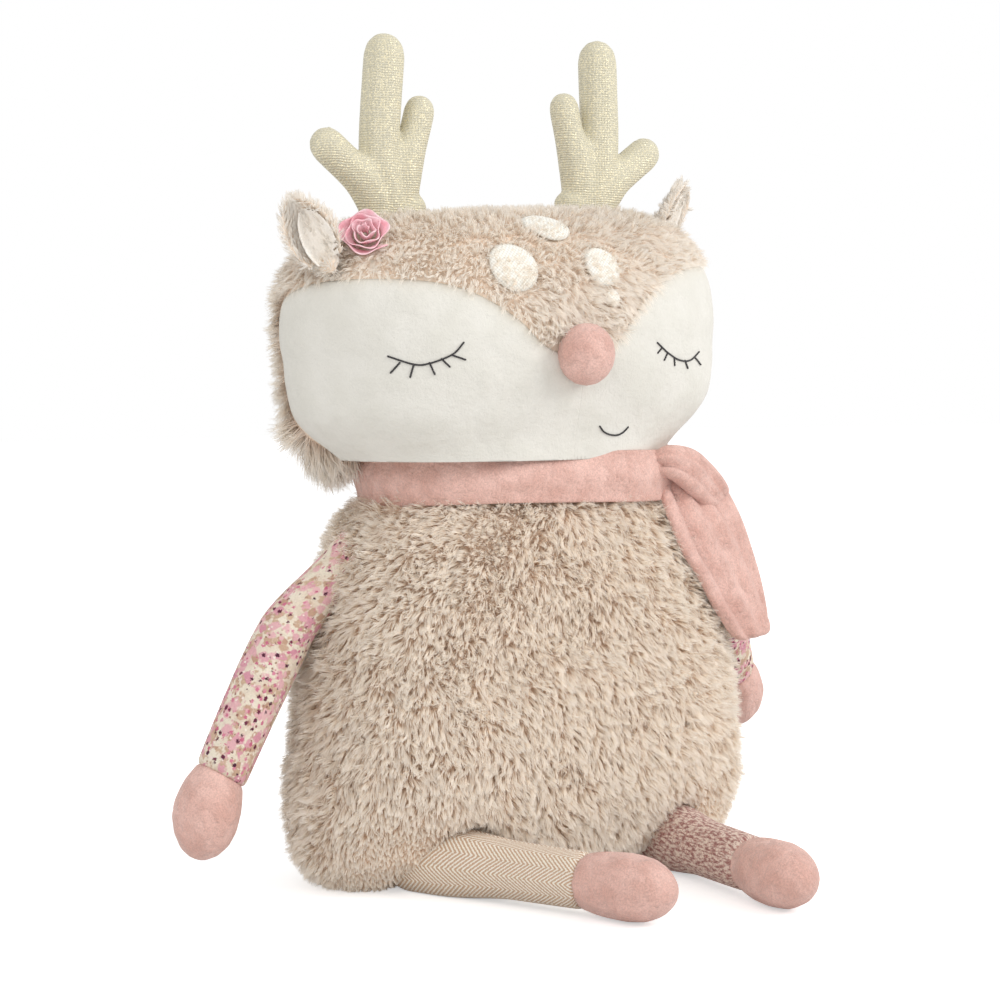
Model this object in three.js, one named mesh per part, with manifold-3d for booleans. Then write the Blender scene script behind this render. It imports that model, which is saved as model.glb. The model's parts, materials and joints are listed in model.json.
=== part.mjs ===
// A plush deer that sits on its base, facing -Y, with +Z up. Its origin is under the middle of the base.
// The deer's own right side is at -X. Every length is in millimetres and every angle in degrees.
import * as THREE from "three";
import { mergeVertices } from "three/addons/utils/BufferGeometryUtils.js";
import Module from "manifold-3d";

const wasm = await Module();
wasm.setup();

// Cloth and sewing
const furWall = 4;
const seamGap = 0.3;
const weldGap = 0.0001;
const overrun = 10;

// Torso: a boxy pillow, wider at the seat, with its front bottom edge rounded up over the legs
const torsoHeight = 192;
const torsoHalfWidth = 118;
const torsoFrontDepth = 60;
const torsoBackDepth = 55;
const torsoSquareness = 2.35;
const pelletBagHalfWidth = 44;
const pelletBagHalfDepth = 30;
const pelletBagHeight = 34;
const pelletBagBack = 14;
const pelletEndShare = 0.5;

// Neck: a round plug of stuffing stands up out of the torso, and the head turns on it
const neckRadius = 34;
const neckRise = 32;
const neckDepth = 14;
const neckSleeveWall = 9;
const neckGap = 5;

// Head: a wide pillow that leans and turns a little to one side
const headHalfWidth = 119;
const headHeight = 129;
const headFrontDepth = 66;
const headBackDepth = 60;
const headShiftX = -6;
const headRoll = 3;
const headTurn = 5;
const headSquareness = 2.3;

// Face
const noseHalfWidth = 14.5;
const noseHalfDepth = 13;
const noseHalfHeight = 15;
const noseOutShare = 0.5;
const noseAtShares = [-0.02, 0.485];
const spotWall = 1.6;
const standStepShare = 0.02;

// Antlers
const antlerSpread = 58;
const antlerSetBack = 4;
const antlerSlope = 9;
const antlerTiltAngles = { right: 1, left: 3 };
const antlerRootRadius = 8;
const antlerRootHalfLength = 10;
const antlerRootSpread = 3;
const antlerFlatness = 0.84;
const antlerSeatShare = 0.5;
const palmHeight = 25;
const beamHeight = 75;
const beamOffset = 7;
const beamRadius = 10.4;
const innerTineHeight = 49;
const innerTineReach = 16;
const innerTineRadius = 7.8;
const outerTineHeight = 31;
const outerTineReach = 36;
const outerTineRadius = 8.8;
const innerElbowShares = [0.75, 0.73];
const outerStartShares = [0.44, 0.49];
const outerElbowShares = [0.7, 0.72];

// Ears
const earSpread = { right: 108, left: 109 };
const earSetBack = { right: -24, left: 14 };
const earLength = 39;
const earHalfWidth = 15;
const earCupDepth = 10;
const earRootRadius = 6.5;
const earFurWall = 3.4;
const earLiningWall = 1.6;
const earSplayAngles = { right: 29, left: 34 };
const earTurn = 28;
const earSeatShare = 0.6;
const earStartShare = 0.5;
const earUncurlShare = 0.35;
const earHollowSpill = 1;

// Ribbon rose
const roseRadius = 12.5;
const roseCoreRadius = 2.4;
const roseTurns = 3;
const ribbonWidth = 9;
const ribbonWall = 0.9;
const roseBackWall = 1.2;
const ribbonFlare = 2;
const ribbonFallShare = 0.4;
const roseLift = 0.15;
const roseAtShares = [-0.76, 0.93];

// Scarf: a band round the neck, a knot over the left shoulder and two tails that lie on the chest
const scarfHalfWidth = 81;
const scarfHalfDepth = 52;
const scarfBandHeight = 24;
const scarfBandWall = 8;
const scarfRise = 8;
const scarfPleat = 0.9;
const scarfPleats = 3;
const scarfTwists = 2;
const knotHalfWidth = 12;
const knotHalfHeight = 12;
const knotHalfDepth = 9;
const knotAngle = -34;
const tailLength = 80;
const tailTopHalfWidth = 9;
const tailBottomHalfWidth = 16;
const tailWall = 5;
const tailFold = 3;
const tailRootRadius = 5;
const tailDrop = 14;
const tailTurnAngles = { front: -47, rear: -17 };
const tailLeanAngles = { front: 13, rear: 20 };
const tailSpinAngles = { front: -14, rear: 2 };
const tailRoundShare = 0.25;
const tailEndShare = 0.88;

// Arms: a stuffed sleeve with a ball root in a dimple of the side seam, and a stuffed hand
const shoulderHeight = 164;
const shoulderBite = 0.6;
const shoulderGap = 0.7;
const armRootRadius = 10;
const armSleeveLength = 110;
const armBend = 8;
const armMidRadius = 13.2;
const wristRadius = 12;
const handLength = 47;
const handRadius = 16.4;
const sleeveShares = [0.2, 0.5, 0.8];
const padSwellShare = 0.52;
const padRiseShare = 0.24;

// Legs: a stuffed sleeve with a ball root under the front of the seat, and a stuffed foot
const hipSpread = 68;
const hipForward = 18;
const legRadius = 13.4;
const legSleeveLength = 98;
const ankleRadius = 12.8;
const footLength = 48;
const footRadius = 15.8;
const legLiftRange = 15;
const legDropRange = 60;

// Label in the left side seam
const seamLabelWidth = 24;
const seamLabelReach = 16;
const seamLabelWall = 0.6;
const seamLabelHeight = 98;
const seamLabelTuck = 0.6;

// How finely the surfaces are cut
const torsoSides = 26;
const torsoRings = 11;
const headSides = 30;
const headRings = 12;
const limbSides = 12;
const tubeSides = 8;
const rootSides = 12;
const scarfSteps = 28;
const ribbonStepsPerTurn = 12;

const radians = THREE.MathUtils.degToRad;

// Height share, then the shares of width, front depth and back depth, from the bottom up
const torsoShares = [
  [0.0, 0.8, 0.32, 0.66],
  [0.04, 0.92, 0.6, 0.86],
  [0.12, 0.985, 0.86, 0.97],
  [0.25, 1.0, 0.98, 1.0],
  [0.45, 0.965, 1.0, 0.99],
  [0.7, 0.895, 0.93, 0.92],
  [0.86, 0.81, 0.86, 0.86],
  [0.94, 0.74, 0.8, 0.8],
  [1.0, 0.63, 0.72, 0.74],
];
const headShares = [
  [0.0, 0.5, 0.62, 0.66],
  [0.054, 0.57, 0.7, 0.71],
  [0.108, 0.65, 0.77, 0.76],
  [0.194, 0.79, 0.85, 0.81],
  [0.323, 0.92, 0.94, 0.92],
  [0.485, 0.985, 1.0, 0.99],
  [0.625, 1.0, 0.99, 1.0],
  [0.776, 0.98, 0.91, 0.94],
  [0.88, 0.93, 0.78, 0.82],
  [0.95, 0.83, 0.6, 0.64],
  [1.0, 0.6, 0.34, 0.36],
];

// Half of the face's outline, from the notch over the nose round to the chin: sideways and height shares
const faceShares = [
  [0.0, 0.474],
  [0.1, 0.485],
  [0.19, 0.528],
  [0.27, 0.603],
  [0.36, 0.668],
  [0.5, 0.738],
  [0.68, 0.792],
  [0.84, 0.765],
  [0.935, 0.657],
  [0.96, 0.517],
  [0.91, 0.366],
  [0.77, 0.226],
  [0.6, 0.097],
  [0.3, 0.043],
  [0.0, 0.032],
];

// An ear's width share at each share of its length
const earShares = [
  [0.0, 0.67],
  [0.2, 0.91],
  [0.42, 1.0],
  [0.62, 0.94],
  [0.82, 0.73],
  [1.0, 0.32],
];

// The forehead's cloth spots: sideways and height shares of each, and its radius
const foreheadSpots = {
  spot_right: { atShares: [-0.266, 0.805], radius: 12.5 },
  spot_top: { atShares: [0.003, 0.945], radius: 12 },
  spot_left: { atShares: [0.157, 0.793], radius: 10 },
  spot_low: { atShares: [0.17, 0.678], radius: 4.2 },
};

// Value of every column of a table at a share of its first column, along a smooth curve through the rows
function tableAt(rows, share) {
  let i = 0;
  while (i < rows.length - 2 && share > rows[i + 1][0]) i++;
  const slope = (k, c) => {
    const a = rows[Math.max(k - 1, 0)];
    const b = rows[Math.min(k + 1, rows.length - 1)];
    return (b[c] - a[c]) / (b[0] - a[0]);
  };
  const width = rows[i + 1][0] - rows[i][0];
  const t = THREE.MathUtils.clamp((share - rows[i][0]) / width, 0, 1);
  return rows[i].map((start, c) => {
    const end = rows[i + 1][c];
    const cubic = (2 * t ** 3 - 3 * t * t + 1) * start + (3 * t * t - 2 * t ** 3) * end;
    return cubic + width * ((t ** 3 - 2 * t * t + t) * slope(i, c) + (t ** 3 - t * t) * slope(i + 1, c));
  });
}

// A closed surface through a stack of rings with as many points each.
// An end ring is closed by a fan, or is one point.
function stackRings(rings) {
  const points = [];
  const faces = [];
  const starts = rings.map((ring) => points.push(...ring) - ring.length);
  const side = (lower, upper) => {
    const count = Math.max(rings[lower].length, rings[upper].length);
    for (let k = 0; k < count; k++) {
      const next = (k + 1) % count;
      const low = [k, next].map((j) => starts[lower] + (rings[lower].length > 1 ? j : 0));
      const high = [k, next].map((j) => starts[upper] + (rings[upper].length > 1 ? j : 0));
      if (low[0] !== low[1]) faces.push(low[0], low[1], high[1]);
      if (high[0] !== high[1]) faces.push(low[0], high[1], high[0]);
    }
  };
  for (let i = 0; i < rings.length - 1; i++) side(i, i + 1);
  const close = (ring, turned) => {
    if (rings[ring].length < 2) return;
    const centre = new THREE.Vector3();
    rings[ring].forEach((p) => centre.add(p));
    const hub = points.push(centre.divideScalar(rings[ring].length)) - 1;
    rings[ring].forEach((p, k) => {
      const a = starts[ring] + k;
      const b = starts[ring] + ((k + 1) % rings[ring].length);
      faces.push(...(turned ? [hub, b, a] : [hub, a, b]));
    });
  };
  close(0, true);
  close(rings.length - 1, false);
  return new THREE.BufferGeometry().setFromPoints(points).setIndex(faces);
}

// One level ring of a pillow, with its own front and back depth
function pillowRing(z, halfWidth, front, back, squareness, sides) {
  const power = 2 / squareness;
  return Array.from({ length: sides }, (_, k) => {
    const turn = ((k + 0.5) / sides) * 2 * Math.PI;
    const c = Math.cos(turn);
    const s = Math.sin(turn);
    const depth = s < 0 ? front : back;
    return new THREE.Vector3(
      halfWidth * Math.sign(c) * Math.abs(c) ** power,
      depth * Math.sign(s) * Math.abs(s) ** power,
      z,
    );
  });
}

// A THREE geometry as a solid that can be joined and cut, and back again
function solid(geometry) {
  const bare = (geometry.index ? geometry.toNonIndexed() : geometry.clone()).deleteAttribute("normal");
  bare.deleteAttribute("uv");
  const merged = mergeVertices(bare, weldGap);
  return new wasm.Manifold(
    new wasm.Mesh({
      numProp: 3,
      vertProperties: new Float32Array(merged.attributes.position.array),
      triVerts: new Uint32Array(merged.index.array),
    }),
  );
}

function geometryOf(made) {
  const mesh = made.getMesh();
  const points = new Float32Array(mesh.numVert * 3);
  for (let i = 0; i < mesh.numVert; i++) {
    points.set(mesh.vertProperties.subarray(i * mesh.numProp, i * mesh.numProp + 3), i * 3);
  }
  return new THREE.BufferGeometry()
    .setAttribute("position", new THREE.BufferAttribute(points, 3))
    .setIndex(new THREE.BufferAttribute(mesh.triVerts, 1));
}

const placed = (geometry, matrix) => geometry.clone().applyMatrix4(matrix);
const cutAll = (made, cutters) => cutters.reduce((left, cutter) => left.subtract(cutter), made);

// A block that reaches far past the deer on one side of a plane, for halving a shell at its seam
const farSize = 3 * (torsoHeight + headHeight);
const halfSpace = (axis, sign, offset) => {
  const block = new THREE.BoxGeometry(farSize, farSize, farSize);
  const shift = new THREE.Vector3().setComponent(axis, offset + (sign * farSize) / 2);
  return solid(block.translate(shift.x, shift.y, shift.z));
};

// Colours and finishes
const cloth = (color, roughness = 0.95, metalness = 0) =>
  new THREE.MeshStandardMaterial({ color, roughness, metalness });
const fur = cloth(0xd9c4ab);
const faceCloth = cloth(0xf1eee6);
const pinkVelour = cloth(0xdda79b);
const goldKnit = cloth(0xd8cba0, 0.6, 0.35);
const liningCloth = cloth(0xe9e2d6);
const spotLinen = cloth(0xf4f2ec);
const satinRibbon = cloth(0xf0a6b4, 0.35);
const floralCotton = cloth(0xd9c6b6);
const herringboneTweed = cloth(0xdccdbb);
const roseTweed = cloth(0xb08f86);
const wadding = cloth(0xf6f5f1);
const beanBag = cloth(0xe4ddd0);
const satinLabel = cloth(0xececee, 0.5);

const deer = new THREE.Group();
deer.name = "plush_deer";

function add(parent, name, geometry, material) {
  const mesh = new THREE.Mesh(geometry, material);
  mesh.name = name;
  parent.add(mesh);
  return mesh;
}

function group(parent, name, x, y, z) {
  const made = new THREE.Group();
  made.name = name;
  made.position.set(x, y, z);
  parent.add(made);
  return made;
}

// Torso

const torsoAt = (z) => {
  const [, width, front, back] = tableAt(torsoShares, z / torsoHeight);
  return { halfWidth: torsoHalfWidth * width, front: torsoFrontDepth * front, back: torsoBackDepth * back };
};

// A boxy pillow from a table of shares, taken in by a wall; its rings crowd towards both ends
function pillow({ height, halfWidth, front, back, shares, squareness, rings, sides }, wall) {
  const stack = Array.from({ length: rings }, (_, i) => {
    const share = 0.5 - 0.5 * Math.cos((Math.PI * i) / (rings - 1));
    const [, width, fore, aft] = tableAt(shares, share);
    const level = wall + share * (height - 2 * wall);
    const [side, before, behind] = [halfWidth * width, front * fore, back * aft].map((size) => size - wall);
    return pillowRing(level, side, before, behind, squareness, sides);
  });
  return stackRings(stack);
}

const torsoForm = {
  height: torsoHeight,
  halfWidth: torsoHalfWidth,
  front: torsoFrontDepth,
  back: torsoBackDepth,
  shares: torsoShares,
  squareness: torsoSquareness,
  rings: torsoRings,
  sides: torsoSides,
};
const torsoPillow = (wall) => solid(pillow(torsoForm, wall));

// The neck's plug, upright, with its flat foot inside the torso and a rounded top inside the head
function neckPlug(gap) {
  const radius = neckRadius + gap;
  const profile = new THREE.Path();
  profile.moveTo(0, torsoHeight - neckDepth - gap);
  profile.lineTo(radius, torsoHeight - neckDepth - gap);
  profile.lineTo(radius, torsoHeight + neckRise - radius / 2 + gap);
  profile.absellipse(0, torsoHeight + neckRise - radius / 2 + gap, radius, radius / 2, 0, Math.PI / 2);
  const plug = new THREE.LatheGeometry(cleanProfile(profile.getPoints(3)), rootSides * 2);
  return solid(plug.rotateX(Math.PI / 2));
}

// Scarf

// A point on the scarf band's middle line and the outward direction there
function onScarf(degrees, out) {
  const turn = radians(degrees);
  const c = Math.cos(turn);
  const s = Math.sin(turn);
  const power = 2 / torsoSquareness;
  const round = (value) => Math.sign(value) * Math.abs(value) ** power;
  const z = torsoHeight + scarfRise;
  const middle = new THREE.Vector3(scarfHalfWidth * round(c), scarfHalfDepth * round(s), z);
  const outward = new THREE.Vector3(scarfHalfDepth * c, scarfHalfWidth * s, 0).normalize();
  return { middle: middle.addScaledVector(outward, out), outward };
}

// The band round the neck: a soft flat section with three lengthwise pleats; its room is plain
function scarfBand(gap) {
  const halfHeight = scarfBandHeight / 2 + gap;
  const halfWall = scarfBandWall / 2 + gap;
  const rings = Array.from({ length: scarfSteps }, (_, i) => {
    const { middle, outward } = onScarf((-360 * i) / scarfSteps, 0);
    return Array.from({ length: tubeSides }, (_, k) => {
      const turn = (k / tubeSides) * 2 * Math.PI;
      const c = Math.cos(turn);
      const twist = (i / scarfSteps) * scarfTwists * 2 * Math.PI;
      const wave = Math.cos(Math.sin(turn) * scarfPleats * Math.PI + twist);
      const out = gap ? c * halfWall : c * (halfWall - scarfPleat * (1 - wave));
      const rise = new THREE.Vector3(0, 0, halfHeight * Math.sin(turn));
      return middle.clone().addScaledVector(outward, out).add(rise);
    });
  });
  return solid(loopRings(rings));
}

// A closed surface through rings that go round and meet again
function loopRings(rings) {
  const count = rings[0].length;
  const faces = rings.flatMap((ring, i) =>
    ring.flatMap((_, k) => {
      const next = (k + 1) % count;
      const there = ((i + 1) % rings.length) * count;
      return [i * count + k, i * count + next, there + next, i * count + k, there + next, there + k];
    }),
  );
  return new THREE.BufferGeometry().setFromPoints(rings.flat()).setIndex(faces);
}

// A stand on the scarf: X runs round the neck, Z is up and Y points in towards the neck
function scarfStand(degrees, out, drop) {
  const { middle, outward } = onScarf(degrees, out);
  const up = new THREE.Vector3(0, 0, 1);
  const inward = outward.clone().negate();
  const along = new THREE.Vector3().crossVectors(inward, up);
  const place = middle.add(new THREE.Vector3(0, 0, -drop));
  return new THREE.Matrix4().makeBasis(along, inward, up).setPosition(place);
}

// The knot: a plump wrap over the band, grown by a gap where it stands for its own room
function scarfKnot(gap) {
  const ball = new THREE.SphereGeometry(1, limbSides, tubeSides);
  ball.scale(knotHalfWidth + gap, knotHalfDepth + gap, knotHalfHeight + gap);
  return solid(placed(ball, scarfStand(knotAngle, scarfBandWall / 2, 0)));
}

// A closed slab between two grids of points with the same rows and columns
function slab(back, front) {
  const columns = back[0].length;
  const points = [...back.flat(), ...front.flat()];
  const offset = back.length * columns;
  const faces = [];
  for (let i = 0; i < back.length - 1; i++) {
    for (let j = 0; j < columns - 1; j++) {
      const a = i * columns + j;
      faces.push(a, a + 1, a + columns + 1, a, a + columns + 1, a + columns);
      faces.push(offset + a, offset + a + columns + 1, offset + a + 1);
      faces.push(offset + a, offset + a + columns, offset + a + columns + 1);
    }
  }
  const rim = [];
  for (let j = 0; j < columns - 1; j++) rim.push(j);
  for (let i = 0; i < back.length - 1; i++) rim.push(i * columns + columns - 1);
  for (let j = columns - 1; j > 0; j--) rim.push((back.length - 1) * columns + j);
  for (let i = back.length - 1; i > 0; i--) rim.push(i * columns);
  rim.forEach((a, k) => {
    const b = rim[(k + 1) % rim.length];
    faces.push(a, offset + b, b, a, offset + a, offset + b);
  });
  return new THREE.BufferGeometry().setFromPoints(points).setIndex(faces);
}

// A scarf tail hangs from its root roll under the knot, widens to a round end and has a fold down its middle
function scarfTail(place, gap = 0) {
  const rows = 7;
  const columns = 6;
  const sheet = (lift) =>
    Array.from({ length: rows + 1 }, (_, i) => {
      const v = i / rows;
      const endShare = Math.max(v - 1 + tailRoundShare, 0) / tailRoundShare;
      const swell = THREE.MathUtils.lerp(tailTopHalfWidth, tailBottomHalfWidth, Math.sqrt(v));
      const round = Math.sqrt(1 - tailEndShare * endShare * endShare);
      return Array.from({ length: columns + 1 }, (_, j) => {
        const u = (2 * j) / columns - 1;
        const fold = lift > 0 ? tailFold * Math.min(3 * v, 1) * Math.cos(2 * Math.PI * u) : 0;
        return new THREE.Vector3(u * (swell * round + gap), -lift - fold, -v * (tailLength + gap));
      });
    });
  const root = new THREE.CapsuleGeometry(tailRootRadius + gap, tailTopHalfWidth, tubeSides / 2, tubeSides);
  const cloth = solid(slab(sheet(-gap), sheet(tailWall + gap))).add(solid(root.rotateZ(Math.PI / 2)));
  const stand = scarfStand(tailTurnAngles[place], scarfBandWall / 2, tailDrop)
    .multiply(new THREE.Matrix4().makeRotationX(radians(-tailLeanAngles[place])))
    .multiply(new THREE.Matrix4().makeRotationY(radians(tailSpinAngles[place])));
  const rooms = [torsoPillow(-2 * seamGap), scarfBand(seamGap), scarfKnot(seamGap)];
  if (place === "rear") rooms.push(scarfTail("front", 4 * seamGap));
  return cutAll(cloth.transform(stand.elements), rooms);
}

// A stuffed limb along -Z: its root is a ball round the origin, and its wrist or ankle is a flat seam
function limbSleeve(rootRadius, midRadius, seamRadius, length) {
  const profile = new THREE.Path();
  profile.moveTo(0, -length);
  profile.lineTo(seamRadius, -length);
  profile.splineThru([
    new THREE.Vector2((midRadius + seamRadius) / 2, -length * sleeveShares[2]),
    new THREE.Vector2(midRadius, -length * sleeveShares[1]),
    new THREE.Vector2((midRadius + rootRadius) / 2, -length * sleeveShares[0]),
    new THREE.Vector2(rootRadius, 0),
  ]);
  profile.absarc(0, 0, rootRadius, 0, Math.PI / 2);
  return new THREE.LatheGeometry(cleanProfile(profile.getPoints(2)), limbSides).rotateX(Math.PI / 2);
}

// The hand or foot: a stuffed pad that swells from the seam and is blunt at its tip
function limbPad(seamRadius, padRadius, start, length) {
  const tip = start + length;
  const swell = start + length * padSwellShare;
  const shoulder = padRadius - (padRadius - seamRadius) / 4;
  const profile = new THREE.Path();
  profile.moveTo(0, -tip);
  profile.absellipse(0, -swell, padRadius, tip - swell, -Math.PI / 2, 0);
  profile.splineThru([
    new THREE.Vector2(shoulder, -start - length * padRiseShare),
    new THREE.Vector2(seamRadius, -start),
  ]);
  profile.lineTo(0, -start);
  return new THREE.LatheGeometry(cleanProfile(profile.getPoints(2)), limbSides).rotateX(Math.PI / 2);
}

// LatheGeometry turns about Y, so profiles here run along Y with their radius in X, and repeated points go
function cleanProfile(points) {
  return points.filter((p, i) => {
    if (Math.abs(p.x) < seamGap / 100) p.x = 0;
    return i === 0 || p.distanceTo(points[i - 1]) > seamGap / 10;
  });
}

const sides = { right: -1, left: 1 };

// An arm droops back towards the body along its length
function bent(geometry, sign) {
  const points = geometry.attributes.position;
  for (let i = 0; i < points.count; i++) {
    const share = Math.max(-points.getZ(i), 0) / armSleeveLength;
    points.setX(i, points.getX(i) - sign * armBend * share * share);
  }
  return geometry;
}

// The limbs' places, with each one's turn from pointing straight down: outward, and forward or back
const armPose = {
  right: { out: 33, swing: 0 },
  left: { out: 38, swing: -34 },
};
const legPose = {
  right: { inward: 25 },
  left: { inward: 4 },
};

const shoulderSpread = torsoAt(shoulderHeight).halfWidth + armRootRadius - shoulderBite;
const footSeam = legSleeveLength + seamGap;
const hipHeight = footRadius + seamGap;

function ballAt(radius, x, y, z) {
  return solid(new THREE.SphereGeometry(radius, limbSides, limbSides / 2).translate(x, y, z));
}

// The room that a leg needs under the torso: an arch at its highest lift, and all below and in front of it
function legRoom(side) {
  const radius = legRadius + seamGap * 3;
  const reach = torsoFrontDepth + hipForward + radius;
  const hip = new THREE.Matrix4().makeTranslation(sides[side] * hipSpread, -hipForward, hipHeight);
  hip.multiply(new THREE.Matrix4().makeRotationZ(radians(-sides[side] * legPose[side].inward)));
  const lifted = new THREE.Matrix4().makeRotationX(radians(-legLiftRange));
  const arch = new THREE.CapsuleGeometry(radius, reach, tubeSides / 2, limbSides);
  arch.translate(0, -reach / 2, 0);
  const lift = radians(legLiftRange);
  const drop = radians(legDropRange);
  const front = new THREE.Shape();
  front.moveTo(0, 0);
  front.lineTo(reach * Math.cos(lift), reach * Math.sin(lift));
  front.lineTo(reach, -reach);
  front.lineTo(0, -reach);
  front.lineTo(-radius * Math.sin(drop), -radius * Math.cos(drop));
  const below = new THREE.ExtrudeGeometry(front, { depth: 2 * radius, bevelEnabled: false });
  below.translate(0, 0, -radius);
  below.applyMatrix4(new THREE.Matrix4().makeBasis(
    new THREE.Vector3(0, -1, 0),
    new THREE.Vector3(0, 0, 1),
    new THREE.Vector3(-1, 0, 0),
  ));
  return solid(placed(placed(arch, lifted), hip)).add(solid(placed(below, hip)));
}

// The bag of pellets low in the seat, grown by a gap where it stands for its own room
function pelletBag(gap) {
  const levelShares = [0, 0.12, 0.4, 0.7, 0.92, 1];
  const rings = levelShares.map((share) => {
    const swell = Math.sqrt(1 - (1 - pelletEndShare ** 2) * (2 * share - 1) ** 2);
    const z = furWall + 2 * seamGap - gap + share * (pelletBagHeight + 2 * gap);
    const halfWidth = pelletBagHalfWidth * swell + gap;
    const halfDepth = pelletBagHalfDepth * swell + gap;
    const ring = pillowRing(z, halfWidth, halfDepth, halfDepth, torsoSquareness, limbSides);
    return ring.map((p) => p.add(new THREE.Vector3(0, pelletBagBack, 0)));
  });
  return solid(stackRings(rings));
}

function buildTorso() {
  const shoulders = Object.values(sides).map((sign) =>
    ballAt(armRootRadius + shoulderGap, sign * shoulderSpread, 0, shoulderHeight),
  );
  const rooms = Object.keys(sides).map(legRoom);
  const carve = (made) => cutAll(made, [...shoulders, ...rooms]);
  const outer = torsoPillow(0);
  const topRooms = [neckPlug(seamGap), scarfBand(seamGap), scarfKnot(seamGap)];
  const shell = carve(cutAll(outer.subtract(torsoPillow(furWall)), topRooms));
  const aboveBase = shell.intersect(halfSpace(2, 1, furWall + seamGap));
  const filling = cutAll(torsoPillow(furWall + seamGap), topRooms.slice(1)).add(neckPlug(0));
  const torso = group(deer, "torso", 0, 0, 0);
  add(torso, "torso_front", geometryOf(aboveBase.intersect(halfSpace(1, -1, -seamGap / 2))), fur);
  add(torso, "torso_back", geometryOf(aboveBase.intersect(halfSpace(1, 1, seamGap / 2))), fur);
  add(torso, "seat_panel", geometryOf(carve(outer.intersect(halfSpace(2, -1, furWall)))), fur);
  add(torso, "torso_stuffing", geometryOf(carve(filling).subtract(pelletBag(seamGap))), wadding);
  add(torso, "pellet_bag", geometryOf(pelletBag(0)), beanBag);
  add(torso, "scarf_band", geometryOf(scarfBand(0).subtract(scarfKnot(seamGap))), pinkVelour);
  add(torso, "scarf_knot", geometryOf(scarfKnot(0)), pinkVelour);
  add(torso, "scarf_tail_rear", geometryOf(scarfTail("rear")), pinkVelour);
  add(torso, "scarf_tail_front", geometryOf(scarfTail("front")), pinkVelour);
  const label = new THREE.BoxGeometry(seamLabelReach, seamLabelWall, seamLabelWidth);
  const seamAt = (z) => torsoAt(z).halfWidth;
  const seamLow = seamAt(seamLabelHeight - seamLabelWidth / 2);
  const seamHigh = seamAt(seamLabelHeight + seamLabelWidth / 2);
  const lean = Math.atan2(seamLow - seamHigh, seamLabelWidth);
  const sewn = add(torso, "seam_label", label, satinLabel);
  const labelRoot = seamAt(seamLabelHeight) + seamGap - seamLabelTuck;
  sewn.position.set(labelRoot + seamLabelReach / 2, 0, seamLabelHeight);
  sewn.rotation.y = -lean;
  return torso;
}
const torso = buildTorso();

// Head

const headForm = {
  height: headHeight,
  halfWidth: headHalfWidth,
  front: headFrontDepth,
  back: headBackDepth,
  shares: headShares,
  squareness: headSquareness,
  rings: headRings,
  sides: headSides,
};
const headBottom = neckGap;
const headGroup = group(deer, "head", 0, 0, torsoHeight);
headGroup.rotation.set(0, radians(-headRoll), radians(headTurn), "ZYX");
headGroup.updateMatrixWorld(true);
const headPillow = (wall) => solid(pillow(headForm, wall).translate(headShiftX, 0, headBottom));

// A place on the head's front or back, from its sideways and height shares
function onHead(xShare, zShare, depth, column) {
  const at = tableAt(headShares, zShare);
  const inside = 1 - Math.abs(xShare / at[1]) ** headSquareness;
  const reach = depth * at[column] * Math.max(inside, 0) ** (1 / headSquareness);
  return new THREE.Vector3(headShiftX + xShare * headHalfWidth, reach, headBottom + zShare * headHeight);
}
const onFace = (xShare, zShare) => onHead(xShare, zShare, -headFrontDepth, 2);

// How high the head's top lies over a sideways place and a depth, by halving the step
function crownHeight(x, y) {
  let low = 0.5;
  let high = 1;
  const xShare = (x - headShiftX) / headHalfWidth;
  const inside = (share) => {
    if (Math.abs(xShare) >= tableAt(headShares, share)[1]) return false;
    return y < 0 ? onFace(xShare, share).y < y : onHead(xShare, share, headBackDepth, 3).y > y;
  };
  for (let step = 0; step < 30; step++) {
    const share = (low + high) / 2;
    if (inside(share)) low = share;
    else high = share;
  }
  return headBottom + low * headHeight;
}

// The whole face's outline, grown by a gap, as a prism through the front of the head
function facePrism(gap) {
  const corner = ([x, z]) => new THREE.Vector3(x * headHalfWidth, headBottom + z * headHeight, 0);
  const half = faceShares.map(corner);
  const mirrored = half.slice(1, -1).reverse().map((p) => new THREE.Vector3(-p.x, p.y, 0));
  const curve = new THREE.CatmullRomCurve3([...half, ...mirrored], true, "centripetal");
  const points = curve.getPoints((half.length + mirrored.length) * 2).slice(0, -1);
  const grown = points.map((p, i) => {
    const before = points[(i + points.length - 1) % points.length];
    const after = points[(i + 1) % points.length];
    const along = new THREE.Vector3().subVectors(after, before).normalize();
    return new THREE.Vector2(headShiftX + p.x - along.y * gap, p.y + along.x * gap);
  });
  const depth = headFrontDepth + overrun;
  const prism = new THREE.ExtrudeGeometry(new THREE.Shape(grown), { depth, bevelEnabled: false });
  return solid(prism.rotateX(Math.PI / 2));
}

// A stand for a piece on the head's front, facing outward
function faceStand(xShare, zShare) {
  const step = standStepShare;
  const across = onFace(xShare + step, zShare).sub(onFace(xShare - step, zShare)).normalize();
  const up = onFace(xShare, zShare + step).sub(onFace(xShare, zShare - step)).normalize();
  const outward = new THREE.Vector3().crossVectors(across, up).normalize();
  const level = new THREE.Vector3().crossVectors(up, outward).normalize();
  return new THREE.Matrix4().makeBasis(level, up, outward).setPosition(onFace(xShare, zShare));
}

// Antlers: flat stuffed gloves of knit, with a rounded root that turns in a groove of the crown

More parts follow.
